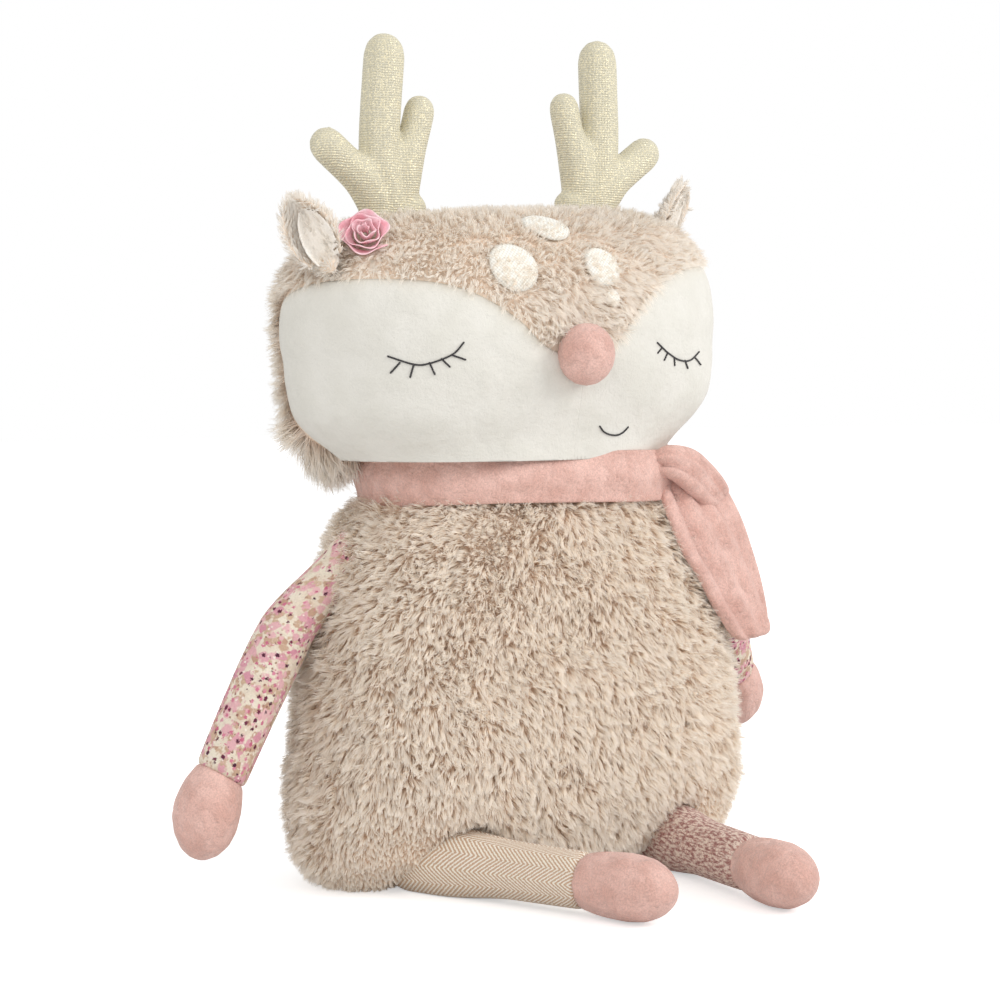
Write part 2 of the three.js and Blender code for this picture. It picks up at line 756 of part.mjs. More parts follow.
function stuffedFinger(points, radii) {
  const curve = new THREE.CatmullRomCurve3(points, false, "centripetal");
  const steps = 7;
  const tipSteps = 3;
  const rings = [];
  const ringAt = (t, radius, push) => {
    const centre = curve.getPoint(t);
    const tangent = curve.getTangent(t);
    const across = new THREE.Vector3(tangent.z, 0, -tangent.x).normalize();
    centre.addScaledVector(tangent, push);
    return Array.from({ length: tubeSides }, (_, k) => {
      const turn = (k / tubeSides) * 2 * Math.PI;
      return centre
        .clone()
        .addScaledVector(across, radius * Math.cos(turn))
        .add(new THREE.Vector3(0, radius * antlerFlatness * Math.sin(turn), 0));
    });
  };
  const radiusAt = (t) => {
    const place = t * (radii.length - 1);
    const i = Math.min(Math.floor(place), radii.length - 2);
    return THREE.MathUtils.lerp(radii[i], radii[i + 1], place - i);
  };
  for (let i = 0; i <= steps; i++) rings.push(ringAt(i / steps, radiusAt(i / steps), 0));
  for (let i = 1; i <= tipSteps; i++) {
    const turn = (i / tipSteps) * (Math.PI / 2);
    const tip = radii[radii.length - 1];
    if (i < tipSteps) rings.push(ringAt(1, tip * Math.cos(turn), tip * Math.sin(turn)));
    else rings.push([curve.getPoint(1).addScaledVector(curve.getTangent(1), tip)]);
  }
  return solid(stackRings(rings));
}

// The three fingers rise from one palm; they are drawn upright and then tilted back off the crown's slope
function antlerSolid(side) {
  const sign = sides[side];
  const at = (x, z) => new THREE.Vector3(sign * x, 0, z);
  const root = -antlerRootRadius;
  const innerAt = ([x, z]) => at(-innerTineReach * x, innerTineHeight * z);
  const outerAt = ([x, z]) => at(outerTineReach * x, outerTineHeight * z);
  const beam = stuffedFinger(
    [
      at(0, root),
      at(beamOffset, palmHeight),
      at(beamOffset, beamHeight / 2),
      at(beamOffset / 2, beamHeight),
    ],
    [beamRadius, beamRadius, beamRadius, beamRadius],
  );
  const inner = stuffedFinger(
    [at(-antlerRootSpread, root), at(-beamOffset, palmHeight), innerAt(innerElbowShares), innerAt([1, 1])],
    [innerTineRadius, beamRadius, innerTineRadius, innerTineRadius],
  );
  const outer = stuffedFinger(
    [at(antlerRootSpread, root), outerAt(outerStartShares), outerAt(outerElbowShares), outerAt([1, 1])],
    [outerTineRadius, beamRadius, outerTineRadius, outerTineRadius],
  );
  const lean = antlerSlope - sign * headRoll - antlerTiltAngles[side];
  const upright = new THREE.Matrix4().makeRotationY(radians(-sign * lean));
  const fingers = beam.add(inner).add(outer).transform(upright.elements);
  return fingers.intersect(halfSpace(2, 1, 0)).add(solid(antlerRoot(0)));
}

function antlerRoot(gap) {
  const radius = antlerRootRadius + gap;
  const roll = new THREE.CapsuleGeometry(radius, 2 * antlerRootHalfLength, tubeSides / 4, rootSides);
  return roll.rotateZ(Math.PI / 2);
}

// Where an antler's root lies on the crown: its axis follows the crown's slope
function antlerStand(sign) {
  const x = headShiftX + sign * antlerSpread;
  const crown = crownHeight(x, antlerSetBack);
  return new THREE.Matrix4()
    .makeTranslation(x, antlerSetBack, crown + antlerRootRadius * antlerSeatShare)
    .multiply(new THREE.Matrix4().makeRotationY(radians(sign * antlerSlope)));
}

// Ears: a cupped leaf of fur with a thinner lining in its hollow, on a round root

function earLeaf(out, wall, shrink) {
  const rows = 6;
  const columns = 6;
  const halfWidth = earHalfWidth - shrink;
  const surface = (lift) => {
    const grid = [];
    for (let i = 0; i <= rows; i++) {
      const v = i / rows;
      const [, widthShare] = tableAt(earShares, v);
      for (let j = 0; j <= columns; j++) {
        const u = (2 * j) / columns - 1;
        const x = u * halfWidth * widthShare;
        const curl = -earCupDepth * u * u * (1 - earUncurlShare * v);
        const height = earRootRadius * earStartShare + v * (earLength - shrink);
        grid.push(new THREE.Vector3(x, curl + lift, height));
      }
    }
    return grid;
  };
  const front = surface(out);
  const back = surface(out + wall);
  const wide = columns + 1;
  const faces = [];
  const offset = front.length;
  for (let i = 0; i < rows; i++) {
    for (let j = 0; j < columns; j++) {
      const a = i * wide + j;
      faces.push(a, a + 1, a + wide + 1, a, a + wide + 1, a + wide);
      faces.push(offset + a, offset + a + wide + 1, offset + a + 1);
      faces.push(offset + a, offset + a + wide, offset + a + wide + 1);
    }
  }
  const rim = [];
  for (let j = 0; j < columns; j++) rim.push(j);
  for (let i = 0; i < rows; i++) rim.push(i * wide + columns);
  for (let j = columns; j > 0; j--) rim.push(rows * wide + j);
  for (let i = rows; i > 0; i--) rim.push(i * wide);
  rim.forEach((a, k) => {
    const b = rim[(k + 1) % rim.length];
    faces.push(a, offset + b, b, a, offset + a, offset + b);
  });
  return solid(new THREE.BufferGeometry().setFromPoints([...front, ...back]).setIndex(faces));
}

function earStand(side) {
  const sign = sides[side];
  const x = headShiftX + sign * earSpread[side];
  return new THREE.Matrix4()
    .makeTranslation(x, earSetBack[side], crownHeight(x, earSetBack[side]) + earRootRadius * earSeatShare)
    .multiply(new THREE.Matrix4().makeRotationY(radians(sign * earSplayAngles[side])))
    .multiply(new THREE.Matrix4().makeRotationZ(radians(sign * earTurn)));
}

function buildEar(side) {
  const ear = group(headGroup, "ear_root_" + side, 0, 0, 0);
  earStand(side).decompose(ear.position, ear.quaternion, ear.scale);
  const back = earLeaf(0, earFurWall, 0).add(ballAt(earRootRadius, 0, 0, 0));
  const hollow = earLeaf(-overrun, overrun, -earHollowSpill);
  const lining = earLeaf(-earLiningWall - seamGap, earLiningWall, earFurWall);
  add(ear, "ear_back_" + side, geometryOf(back.subtract(hollow)), fur);
  add(ear, "ear_lining_" + side, geometryOf(lining), liningCloth);
}

// Ribbon rose: a spiral of satin ribbon that opens outward, standing on a small round backing
function ribbonRose() {
  const steps = Math.round(roseTurns * ribbonStepsPerTurn);
  const rings = Array.from({ length: steps + 1 }, (_, i) => {
    const share = i / steps;
    const turn = share * roseTurns * 2 * Math.PI;
    const radius = THREE.MathUtils.lerp(roseCoreRadius, roseRadius - ribbonFlare, share);
    const rim = radius + ribbonFlare * Math.sqrt(share);
    const top = ribbonWidth * (1 - ribbonFallShare * share * share);
    const corner = (r, z) => new THREE.Vector3(r * Math.cos(turn), r * Math.sin(turn), z);
    const low = roseBackWall / 2;
    return [
      corner(radius - ribbonWall / 2, low),
      corner(rim - ribbonWall / 2, top),
      corner(rim + ribbonWall / 2, top),
      corner(radius + ribbonWall / 2, low),
    ];
  });
  const backRadius = roseRadius - ribbonFlare;
  const backing = new THREE.CylinderGeometry(backRadius, backRadius, roseBackWall, tubeSides * 2);
  backing.rotateX(Math.PI / 2).translate(0, 0, roseBackWall / 2);
  return solid(stackRings(rings)).add(solid(backing));
}

function buildHead() {
  const toHead = headGroup.matrixWorld.clone().invert();
  const scarfTop = torsoHeight + scarfRise + scarfBandHeight / 2;
  const sleeveRadius = neckRadius + neckSleeveWall;
  const sleeve = new THREE.CylinderGeometry(sleeveRadius, sleeveRadius, farSize, rootSides * 2);
  const underHead = halfSpace(2, -1, scarfTop + seamGap);
  const skirtRoom = underHead.subtract(solid(sleeve.rotateX(Math.PI / 2))).transform(toHead.elements);
  const antlerRoom = (sign) => solid(placed(antlerRoot(seamGap), antlerStand(sign)));
  const earRoom = (side) => ballAt(earRootRadius + seamGap, 0, 0, 0).transform(earStand(side).elements);
  const neckRoom = neckPlug(seamGap).transform(toHead.elements);
  const rootRooms = Object.keys(sides).flatMap((side) => [antlerRoom(sides[side]), earRoom(side)]);
  const cutters = [neckRoom, ...rootRooms];
  const carve = (made) => cutAll(made, cutters);
  const outer = headPillow(0).subtract(underHead.transform(toHead.elements));
  const shell = carve(outer.subtract(headPillow(furWall)));
  const frontShell = shell.intersect(halfSpace(1, -1, -seamGap / 2));
  const panel = frontShell.intersect(facePrism(0)).intersect(halfSpace(1, -1, -seamGap * 2));
  add(headGroup, "head_front", geometryOf(frontShell.subtract(facePrism(seamGap))), fur);
  add(headGroup, "head_back", geometryOf(shell.intersect(halfSpace(1, 1, seamGap / 2))), fur);
  for (const [side, sign] of Object.entries(sides)) {
    const half = halfSpace(0, sign, headShiftX + (sign * seamGap) / 2);
    add(headGroup, "face_panel_" + side, geometryOf(panel.intersect(half)), faceCloth);
  }
  const filling = carve(headPillow(furWall + seamGap)).subtract(skirtRoom);
  add(headGroup, "head_stuffing", geometryOf(filling), wadding);

  const grown = headPillow(-seamGap);
  const skin = headPillow(-seamGap - spotWall).subtract(grown);
  for (const [name, spot] of Object.entries(foreheadSpots)) {
    const disc = new THREE.CylinderGeometry(spot.radius, spot.radius, overrun * 2, tubeSides * 2);
    const cutter = solid(placed(disc.rotateX(Math.PI / 2), faceStand(...spot.atShares)));
    add(headGroup, name, geometryOf(skin.intersect(cutter)), spotLinen);
  }

  const ball = new THREE.SphereGeometry(1, limbSides, tubeSides);
  ball.scale(noseHalfWidth, noseHalfHeight, noseHalfDepth).translate(0, 0, noseHalfDepth * noseOutShare);
  const nose = solid(placed(ball, faceStand(...noseAtShares))).subtract(grown);
  add(headGroup, "nose", geometryOf(nose), pinkVelour);

  const rose = group(headGroup, "rose_stand", 0, 0, 0);
  const roseStand = faceStand(...roseAtShares).multiply(new THREE.Matrix4().makeTranslation(0, 0, roseLift));
  roseStand.decompose(rose.position, rose.quaternion, rose.scale);
  add(rose, "rose", geometryOf(ribbonRose()), satinRibbon);

  for (const [side, sign] of Object.entries(sides)) {
    const antler = group(headGroup, "antler_root_" + side, 0, 0, 0);
    antlerStand(sign).decompose(antler.position, antler.quaternion, antler.scale);
    add(antler, "antler_" + side, geometryOf(antlerSolid(side)), goldKnit);
    buildEar(side);
  }
}
buildHead();

// Arms and legs

for (const [side, sign] of Object.entries(sides)) {
  const arm = group(torso, "shoulder_" + side, sign * shoulderSpread, 0, shoulderHeight);
  arm.rotation.set(radians(-armPose[side].swing), radians(-sign * armPose[side].out), 0, "XYZ");
  const sleeve = limbSleeve(armRootRadius, armMidRadius, wristRadius, armSleeveLength);
  add(arm, `arm_${side}_sleeve`, bent(sleeve, sign), floralCotton);
  const hand = limbPad(wristRadius, handRadius, armSleeveLength + seamGap, handLength);
  add(arm, `arm_${side}_hand`, bent(hand, sign), pinkVelour);

  const leg = group(torso, "hip_" + side, sign * hipSpread, -hipForward, hipHeight);
  leg.rotation.set(radians(-90), 0, radians(-sign * legPose[side].inward), "ZXY");
  const thigh = limbSleeve(legRadius, legRadius, ankleRadius, legSleeveLength);
  add(leg, `leg_${side}_sleeve`, thigh, side === "right" ? herringboneTweed : roseTweed);
  add(leg, `leg_${side}_foot`, limbPad(ankleRadius, footRadius, footSeam, footLength), pinkVelour);
}

export default deer;
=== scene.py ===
# %% [markdown]
# # A plush deer
# The toy is a long-pile pillow body with a separate pillow head, sewn-on limbs in printed cotton and
# tweed, knit antlers and a velour scarf. The frame gives every part's place. Here each part gets the
# shape and the finish that its cloth has, one cell at a time.

# %% Load the frame
import json
import math

import bmesh
import bpy
from mathutils import Matrix, Vector
from mathutils.bvhtree import BVHTree


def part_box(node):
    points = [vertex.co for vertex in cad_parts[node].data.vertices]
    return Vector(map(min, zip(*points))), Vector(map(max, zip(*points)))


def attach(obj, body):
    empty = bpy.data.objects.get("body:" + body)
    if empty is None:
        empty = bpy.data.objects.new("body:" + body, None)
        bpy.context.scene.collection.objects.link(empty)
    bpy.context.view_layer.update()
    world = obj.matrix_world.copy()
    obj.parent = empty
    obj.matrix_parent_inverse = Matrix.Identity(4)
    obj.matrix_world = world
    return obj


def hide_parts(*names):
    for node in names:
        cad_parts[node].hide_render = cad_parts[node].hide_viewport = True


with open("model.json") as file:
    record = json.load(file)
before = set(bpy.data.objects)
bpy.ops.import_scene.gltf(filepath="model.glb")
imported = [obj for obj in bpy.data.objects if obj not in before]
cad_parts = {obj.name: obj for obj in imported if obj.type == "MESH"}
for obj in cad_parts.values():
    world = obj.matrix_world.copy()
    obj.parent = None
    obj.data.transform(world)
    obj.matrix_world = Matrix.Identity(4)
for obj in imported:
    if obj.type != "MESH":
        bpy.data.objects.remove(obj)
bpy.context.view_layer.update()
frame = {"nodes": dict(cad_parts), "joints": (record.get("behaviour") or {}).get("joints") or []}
nodes = frame["nodes"]
mm = 0.001
full_turn = 2 * math.pi


def in_mm(place):
    """A place in millimetres, rounded for printing."""
    return tuple(round(value / mm, 1) for value in place)


# %% [markdown]
# ## Camera
# The deer faces -Y and is seen a little from its right, with a long lens from about eye height. A
# camera that looks almost level keeps the upright lines upright, as a product photographer does.

# %% Camera
view_turn = math.radians(30)
view_fall = math.radians(3.4)
view_distance = 1200 * mm
view_height = 257 * mm
view_shift = 9 * mm
lens_length = 86.4
sensor_width = 36

toward_camera = Vector((-math.sin(view_turn), -math.cos(view_turn), 0))
camera_right = Vector((math.cos(view_turn), -math.sin(view_turn), 0))
up = Vector((0, 0, 1))
looking = -toward_camera * math.cos(view_fall) - up * math.sin(view_fall)
camera = bpy.data.objects.new("camera", bpy.data.cameras.new("camera"))
camera.data.lens = lens_length
camera.data.sensor_width = sensor_width
camera.location = toward_camera * view_distance - camera_right * view_shift + up * view_height
camera.rotation_euler = looking.to_track_quat("-Z", "Y").to_euler()
bpy.context.collection.objects.link(camera)
bpy.context.scene.camera = camera
print("camera at", in_mm(camera.location))

# %% [markdown]
# ## Node trees without the mouse
# Every finish is a small tree of nodes. These helpers add one node at a time and hand back its output,
# so that a material reads from top to bottom like a recipe. Colours are written as a colour picker
# shows them and turned into the linear light that Blender's shaders work in.

# %% Helpers for node trees
srgb_knee = 0.04045
srgb_slope = 12.92
srgb_offset = 0.055
srgb_power = 2.4


def rgb(red, green, blue):
    """Turns the 0 to 255 numbers of a colour picker into a linear colour."""
    linear = []
    for value in (red, green, blue):
        share = value / 255
        curved = ((share + srgb_offset) / (1 + srgb_offset)) ** srgb_power
        linear.append(share / srgb_slope if share < srgb_knee else curved)
    return tuple(linear) + (1,)


def put(tree, kind, values=None, **settings):
    """Adds a node; a value is a number, a colour or the output of another node."""
    made = tree.nodes.new(kind)
    for name, value in settings.items():
        setattr(made, name, value)
    for socket, value in (values or {}).items():
        if isinstance(value, bpy.types.NodeSocket):
            tree.links.new(value, made.inputs[socket])
        else:
            made.inputs[socket].default_value = value
    return made


def calc(tree, operation, first, second=0.0):
    """One step of arithmetic on numbers."""
    return put(tree, "ShaderNodeMath", {0: first, 1: second}, operation=operation).outputs[0]


def steer(tree, operation, first, second=(0, 0, 0)):
    """One step of arithmetic on vectors."""
    return put(tree, "ShaderNodeVectorMath", {0: first, 1: second}, operation=operation).outputs[0]


def stretch(tree, vector, share):
    """A vector made longer or shorter."""
    return put(tree, "ShaderNodeVectorMath", {0: vector, "Scale": share}, operation="SCALE").outputs[0]


def level(tree, value, low, high, to_low=0.0, to_high=1.0):
    """Spreads what lies between low and high over another range, and stops at that range's ends."""
    return put(tree, "ShaderNodeMapRange", {0: value, 1: low, 2: high, 3: to_low, 4: to_high}).outputs[0]


def mix(tree, share, first, second):
    """A colour between two others."""
    return put(tree, "ShaderNodeMix", {0: share, 6: first, 7: second}, data_type="RGBA").outputs[2]


def cloud(tree, vector, size, detail=2.0, roughness=0.5):
    """Soft random clouds, each about as wide as the given size in metres."""
    made = put(tree, "ShaderNodeTexNoise", {"Vector": vector, "Scale": 1 / size, "Detail": detail})
    made.inputs["Roughness"].default_value = roughness
    return made.outputs["Fac"]


def ripple(tree, place, pitch):
    """A sine wave from -1 to 1 along a place, once in every pitch."""
    return calc(tree, "SINE", calc(tree, "MULTIPLY", place, full_turn / pitch))


def bumps(tree, height, depth, under=None):
    """Shows a height as relief of the given depth, on top of a coarser relief if there is one."""
    made = put(tree, "ShaderNodeBump", {"Height": height, "Distance": depth})
    if under is not None:
        tree.links.new(under, made.inputs["Normal"])
    return made.outputs[0]


def object_place(tree):
    """Where a point lies on its piece, in metres."""
    return tree.nodes.new("ShaderNodeTexCoord").outputs["Object"]


print("colour check:", tuple(round(v, 3) for v in rgb(222, 205, 185)))

# %% [markdown]
# ## Starting a cloth
# A cloth's look is mostly the colour of its yarns and the relief of its surface, over a few numbers
# that are the same everywhere: how rough it is, how much pale sheen it has at the edge of a form, and
# how much it shines.


# %% Helpers for cloths
def cloth(name, roughness, sheen=0.0, sheen_roughness=0.5, specular=0.25):
    """Starts a finish: a Principled shader with the numbers that are the same all over the cloth."""
    made = bpy.data.materials.new(name)
    made.use_nodes = True
    tree = made.node_tree
    shader = tree.nodes["Principled BSDF"]
    shader.inputs["Roughness"].default_value = roughness
    shader.inputs["Sheen Weight"].default_value = sheen
    shader.inputs["Sheen Roughness"].default_value = sheen_roughness
    shader.inputs["Specular IOR Level"].default_value = specular
    return made, tree, shader


def colour_cloth(tree, shader, colour, height=None, depth=0.0):
    """Gives a finish its colour and, where it has a depth, its relief."""
    tree.links.new(colour, shader.inputs["Base Color"])
    if depth:
        tree.links.new(bumps(tree, height, depth), shader.inputs["Normal"])


def cloudy_cloth(name, size, depth, colours, detail=2.0, edges=None, **numbers):
    """A finish with soft clouds of two colours, and with the same clouds as its relief."""
    made, tree, shader = cloth(name, **numbers)
    clouds = cloud(tree, object_place(tree), size, detail)
    if edges:
        clouds = level(tree, clouds, *edges)
    colour_cloth(tree, shader, mix(tree, clouds, *colours), clouds, depth)
    return made


def wear(piece, finish):
    """Puts a finish on a piece."""
    piece.data.materials.clear()
    piece.data.materials.append(finish)
    return piece


print("finishes before the first cloth:", len(bpy.data.materials))

# %% [markdown]
# ## Pieces from points and faces
# A piece is an object at the origin with its place in its own points. It can be made from plain lists
# of points and faces, where a formula gives them, or from a bmesh, which is Blender's workbench for
# merging and cutting. Both ways end in the same mesh, so both have a short helper here.


# %% Helpers for pieces
def new_piece(name, data):
    """Puts a mesh or a lamp in the scene as an object."""
    piece = bpy.data.objects.new(name, data)
    bpy.context.collection.objects.link(piece)
    return piece


def from_points(name, points, faces):
    """A piece from its points, and its faces as the numbers of their points."""
    mesh = bpy.data.meshes.new(name)
    mesh.from_pydata(points, [], faces)
    return new_piece(name, mesh)


def from_work(name, work):
    """A piece from a finished bmesh."""
    mesh = bpy.data.meshes.new(name)
    work.to_mesh(mesh)
    work.free()
    return new_piece(name, mesh)


def area_of(piece):
    """The area of a piece's faces in square metres."""
    return sum(face.area for face in piece.data.polygons)


# %% [markdown]
# ## Floor and light
# The photograph has a pure white room and one soft shadow under the toy. The floor is a real surface
# that keeps the shadow, and it adds a little light of its own for the camera only, so it reads as white
# without lighting the toy. One wide lamp at the viewer's right models the fur, a wider and weaker one
# at the left opens its shadows, and the white room fills the rest.

# %% Floor and light
floor_half = 6
floor_colour = rgb(236, 236, 236)
floor_lift = 0.5
room_colour = (1, 1, 1, 1)
room_strength = 0.76
key_energy = 26
key_size = 1.1
key_place = Vector((1.5, -1.4, 1.3))
fill_energy = 14
fill_size = 1.6
fill_place = Vector((-1.6, -1.3, 1.3))
lamp_target = Vector((0, 0, 0.2))

corners = [Vector((x, y, 0)) * floor_half for x, y in ((-1, -1), (1, -1), (1, 1), (-1, 1))]
floor = from_points("floor", corners, [(0, 1, 2, 3)])


def seen_directly(tree):
    """One for light that goes straight to the camera, to a mirror or through glass."""
    rays = tree.nodes.new("ShaderNodeLightPath").outputs
    seen = calc(tree, "MAXIMUM", rays["Is Camera Ray"], rays["Is Glossy Ray"])
    return calc(tree, "MAXIMUM", seen, rays["Is Transmission Ray"])


floor_finish = bpy.data.materials.new("floor white")
floor_finish.use_nodes = True
floor_tree = floor_finish.node_tree
floor_tree.nodes.clear()
matt = put(floor_tree, "ShaderNodeBsdfDiffuse", {"Color": floor_colour})
glow_strength = calc(floor_tree, "MULTIPLY", seen_directly(floor_tree), floor_lift)
glow = put(floor_tree, "ShaderNodeEmission", {"Strength": glow_strength})
both = put(floor_tree, "ShaderNodeAddShader", {0: matt.outputs[0], 1: glow.outputs[0]})
put(floor_tree, "ShaderNodeOutputMaterial", {"Surface": both.outputs[0]})
floor.data.materials.append(floor_finish)

room = bpy.data.worlds.new("white room")
room.use_nodes = True
room_tree = room.node_tree
sky = room_tree.nodes["Background"]
sky.inputs["Color"].default_value = room_colour
sky_strength = level(room_tree, seen_directly(room_tree), 0, 1, room_strength, 1)
room_tree.links.new(sky_strength, sky.inputs["Strength"])
bpy.context.scene.world = room


def soft_lamp(name, place, energy, size):
    """A square lamp that looks at the toy; the wider it is, the softer the shadows."""
    lamp = bpy.data.lights.new(name, "AREA")
    lamp.energy = energy
    lamp.size = size
    made = new_piece(name, lamp)
    made.location = place
    made.rotation_euler = (lamp_target - place).to_track_quat("-Z", "Y").to_euler()


soft_lamp("key lamp", key_place, key_energy, key_size)
soft_lamp("fill lamp", fill_place, fill_energy, fill_size)
bpy.context.scene.view_settings.view_transform = "Standard"

# %% [markdown]
# ## Pile cloths
# The face is short white velboa, the scarf, hands, feet and nose are pink velour, and the ears are lined
# with cream velour. Pile like this has no weave to see. It shows fine grain, painted lighter on its raised
# tufts and darker between them as light and shade; patches where the nap was brushed another way, painted
# in a darker tone as shade; and a pale sheen at the edge of a form, so one recipe makes all three.

# %% Pile cloths
shaded_patch_edges = (0.35, 0.65)
grain_edges = (0.4, 0.6)


def pile_cloth(name, colours, sizes, sheen, grain_shade):
    """A short pile: its colour and the darker one painted as shade where it is brushed, its grain's size
    and depth, its patches.
    """
    grain_size, grain_depth, patch_size = sizes
    made, tree, shader = cloth(name, roughness=0.85, sheen=sheen, sheen_roughness=0.35)
    place = object_place(tree)
    shaded_patches = level(tree, cloud(tree, place, patch_size, detail=3, roughness=0.6), *shaded_patch_edges)
    grain = cloud(tree, place, grain_size, detail=3, roughness=0.7)
    # painted shade: the patches where the nap was brushed another way take the darker tone
    nap_with_shade = mix(tree, shaded_patches, *colours)
    # painted light and shade: the grain is lighter on its raised tufts and darker between them
    light = level(tree, grain, *grain_edges, 1 - grain_shade, 1 + grain_shade)
    toned = put(tree, "ShaderNodeHueSaturation", {"Color": nap_with_shade, "Value": light})
    tree.links.new(toned.outputs[0], shader.inputs["Base Color"])
    soft = bumps(tree, shaded_patches, grain_depth * 2)
    tree.links.new(bumps(tree, grain, grain_depth, soft), shader.inputs["Normal"])
    return made


velboa_grain = 1.1 * mm
velboa_depth = 0.35 * mm
velboa_patch = 22 * mm
velour_grain = 0.8 * mm
velour_depth = 0.8 * mm
velour_patch = 13 * mm
# the second colour of each pair is the darker tone painted as shade in the patches, and the last number is
# how much painted light and shade the grain has
face_white = pile_cloth(
    "white velboa",
    (rgb(221, 218, 210), rgb(215, 212, 203)),
    (velboa_grain, velboa_depth, velboa_patch),
    sheen=0.05,
    grain_shade=0.012,
)
pink_velour = pile_cloth(
    "pink velour",
    (rgb(234, 193, 181), rgb(217, 172, 159)),
    (velour_grain, velour_depth, velour_patch),
    sheen=0.3,
    grain_shade=0.1,
)
cream_velour = pile_cloth(
    "cream velour",
    (rgb(246, 241, 233), rgb(240, 231, 220)),
    (velour_grain, velboa_depth, velour_patch),
    sheen=0.1,
    grain_shade=0.02,
)
print("pile cloths:", [m.name for m in (face_white, pink_velour, cream_velour)])

# %% [markdown]
# ## Long fur
# A wisp of this fur is cream at its tip and darker tan towards its root, which is partly the fur's own tan
# and partly painted shade where the pile is deep. The Geometry Nodes tree further down writes three numbers
# on each point: how far along its wisp it is, how light that wisp is, and how much its whole coat goes to
# one pale shade. The finish only reads them. Real fibres let light through, so half of it goes on to the
# wisps below, and a wisp's shadow is only a third as deep as a solid's. That is what makes a pale coat look
# soft and not like straw. The backing under the fur is close to the root's colour.

# %% Long fur
through_share = 0.5
shadow_loss_share = 0.65
darkest_wisp = 0.87
pale_shade = rgb(248, 244, 238)
# painted shade: the root end of this ramp is darker, partly the fur's own tan and partly the shade deep in
# the pile
fur_colours_with_root_shade = {
    0.0: rgb(214, 180, 150),
    0.22: rgb(236, 217, 196),
    0.55: rgb(247, 238, 225),
    1.0: rgb(252, 247, 240),
}
fur, fur_look, fur_shader = cloth("long fur", roughness=0.8, sheen=0.1, sheen_roughness=0.4, specular=0.15)
along, tone, pale = (
    put(fur_look, "ShaderNodeAttribute", attribute_name=name).outputs["Fac"]
    for name in ("along", "tone", "pale")
)
fur_ramp_with_root_shade = put(fur_look, "ShaderNodeValToRGB", {"Fac": along})
for place, (share, colour) in enumerate(fur_colours_with_root_shade.items()):
    stop = fur_ramp_with_root_shade.color_ramp.elements[place] if place < 2 else fur_ramp_with_root_shade.color_ramp.elements.new(share)
    stop.position = share
    stop.color = colour
fur_shade = mix(fur_look, pale, fur_ramp_with_root_shade.outputs[0], pale_shade)
fur_light = level(fur_look, tone, 0, 1, darkest_wisp, 1)
fur_toned = put(fur_look, "ShaderNodeHueSaturation", {"Color": fur_shade, "Value": fur_light}).outputs[0]
fur_look.links.new(fur_toned, fur_shader.inputs["Base Color"])
through = put(fur_look, "ShaderNodeBsdfTranslucent", {"Color": fur_toned}).outputs[0]
fibre = put(fur_look, "ShaderNodeMixShader", {0: through_share, 1: fur_shader.outputs[0], 2: through})
shadow_ray = fur_look.nodes.new("ShaderNodeLightPath").outputs["Is Shadow Ray"]
clear = fur_look.nodes.new("ShaderNodeBsdfTransparent")
shown = put(fur_look, "ShaderNodeMixShader", {1: fibre.outputs[0], 2: clear.outputs[0]})
fur_look.links.new(calc(fur_look, "MULTIPLY", shadow_ray, shadow_loss_share), shown.inputs[0])
fur_look.links.new(shown.outputs[0], fur_look.nodes["Material Output"].inputs["Surface"])

backing_grain = 2 * mm
backing_depth = 0.5 * mm
backing_colours = (rgb(228, 208, 188), rgb(242, 229, 214))
backing = cloudy_cloth("fur backing", backing_grain, backing_depth, backing_colours, 4, roughness=0.9)
print("fur ramp:", [round(e.position, 2) for e in fur_ramp_with_root_shade.color_ramp.elements])

# %% [markdown]
# ## Woven cloths
# Each limb is a tube of cloth whose pattern runs lengthwise, so these finishes read a UV map that
# gives metres round the limb and metres along it. Herringbone is a set of slanted lines that change
# direction in every column, and the marled tweed is made of short strokes along the yarn.


# %% Tweeds
def cloth_metres(tree):
    """Metres round the limb, metres along it, and both as a vector."""
    vector = tree.nodes.new("ShaderNodeUVMap")
    vector.uv_map = "cloth"
    parts = put(tree, "ShaderNodeSeparateXYZ", {0: vector.outputs[0]}).outputs
    return parts[0], parts[1], vector.outputs[0]


column_width = 7 * mm
rib_pitch = 2.5 * mm
rib_slope = 1.3
rib_edges = (-0.45, 0.55)
yarn_pitch = 0.8 * mm
yarn_depth = 0.25 * mm
yarn_edges = (0.3, 0.7)
frayed_share = 0.8
herringbone, tweed, tweed_shader = cloth("herringbone tweed", roughness=0.9, sheen=0.1)
round_it, lengthwise, cloth_place = cloth_metres(tweed)
zigzag = calc(tweed, "PINGPONG", round_it, column_width)
slant = calc(tweed, "ADD", lengthwise, calc(tweed, "MULTIPLY", zigzag, rib_slope))
yarns = level(tweed, cloud(tweed, cloth_place, yarn_pitch), *yarn_edges, -frayed_share, frayed_share)
rib_share = level(tweed, calc(tweed, "ADD", ripple(tweed, slant, rib_pitch), yarns), *rib_edges)
tweed_colour = mix(tweed, rib_share, rgb(196, 164, 136), rgb(240, 231, 217))
colour_cloth(tweed, tweed_shader, tweed_colour, rib_share, yarn_depth)

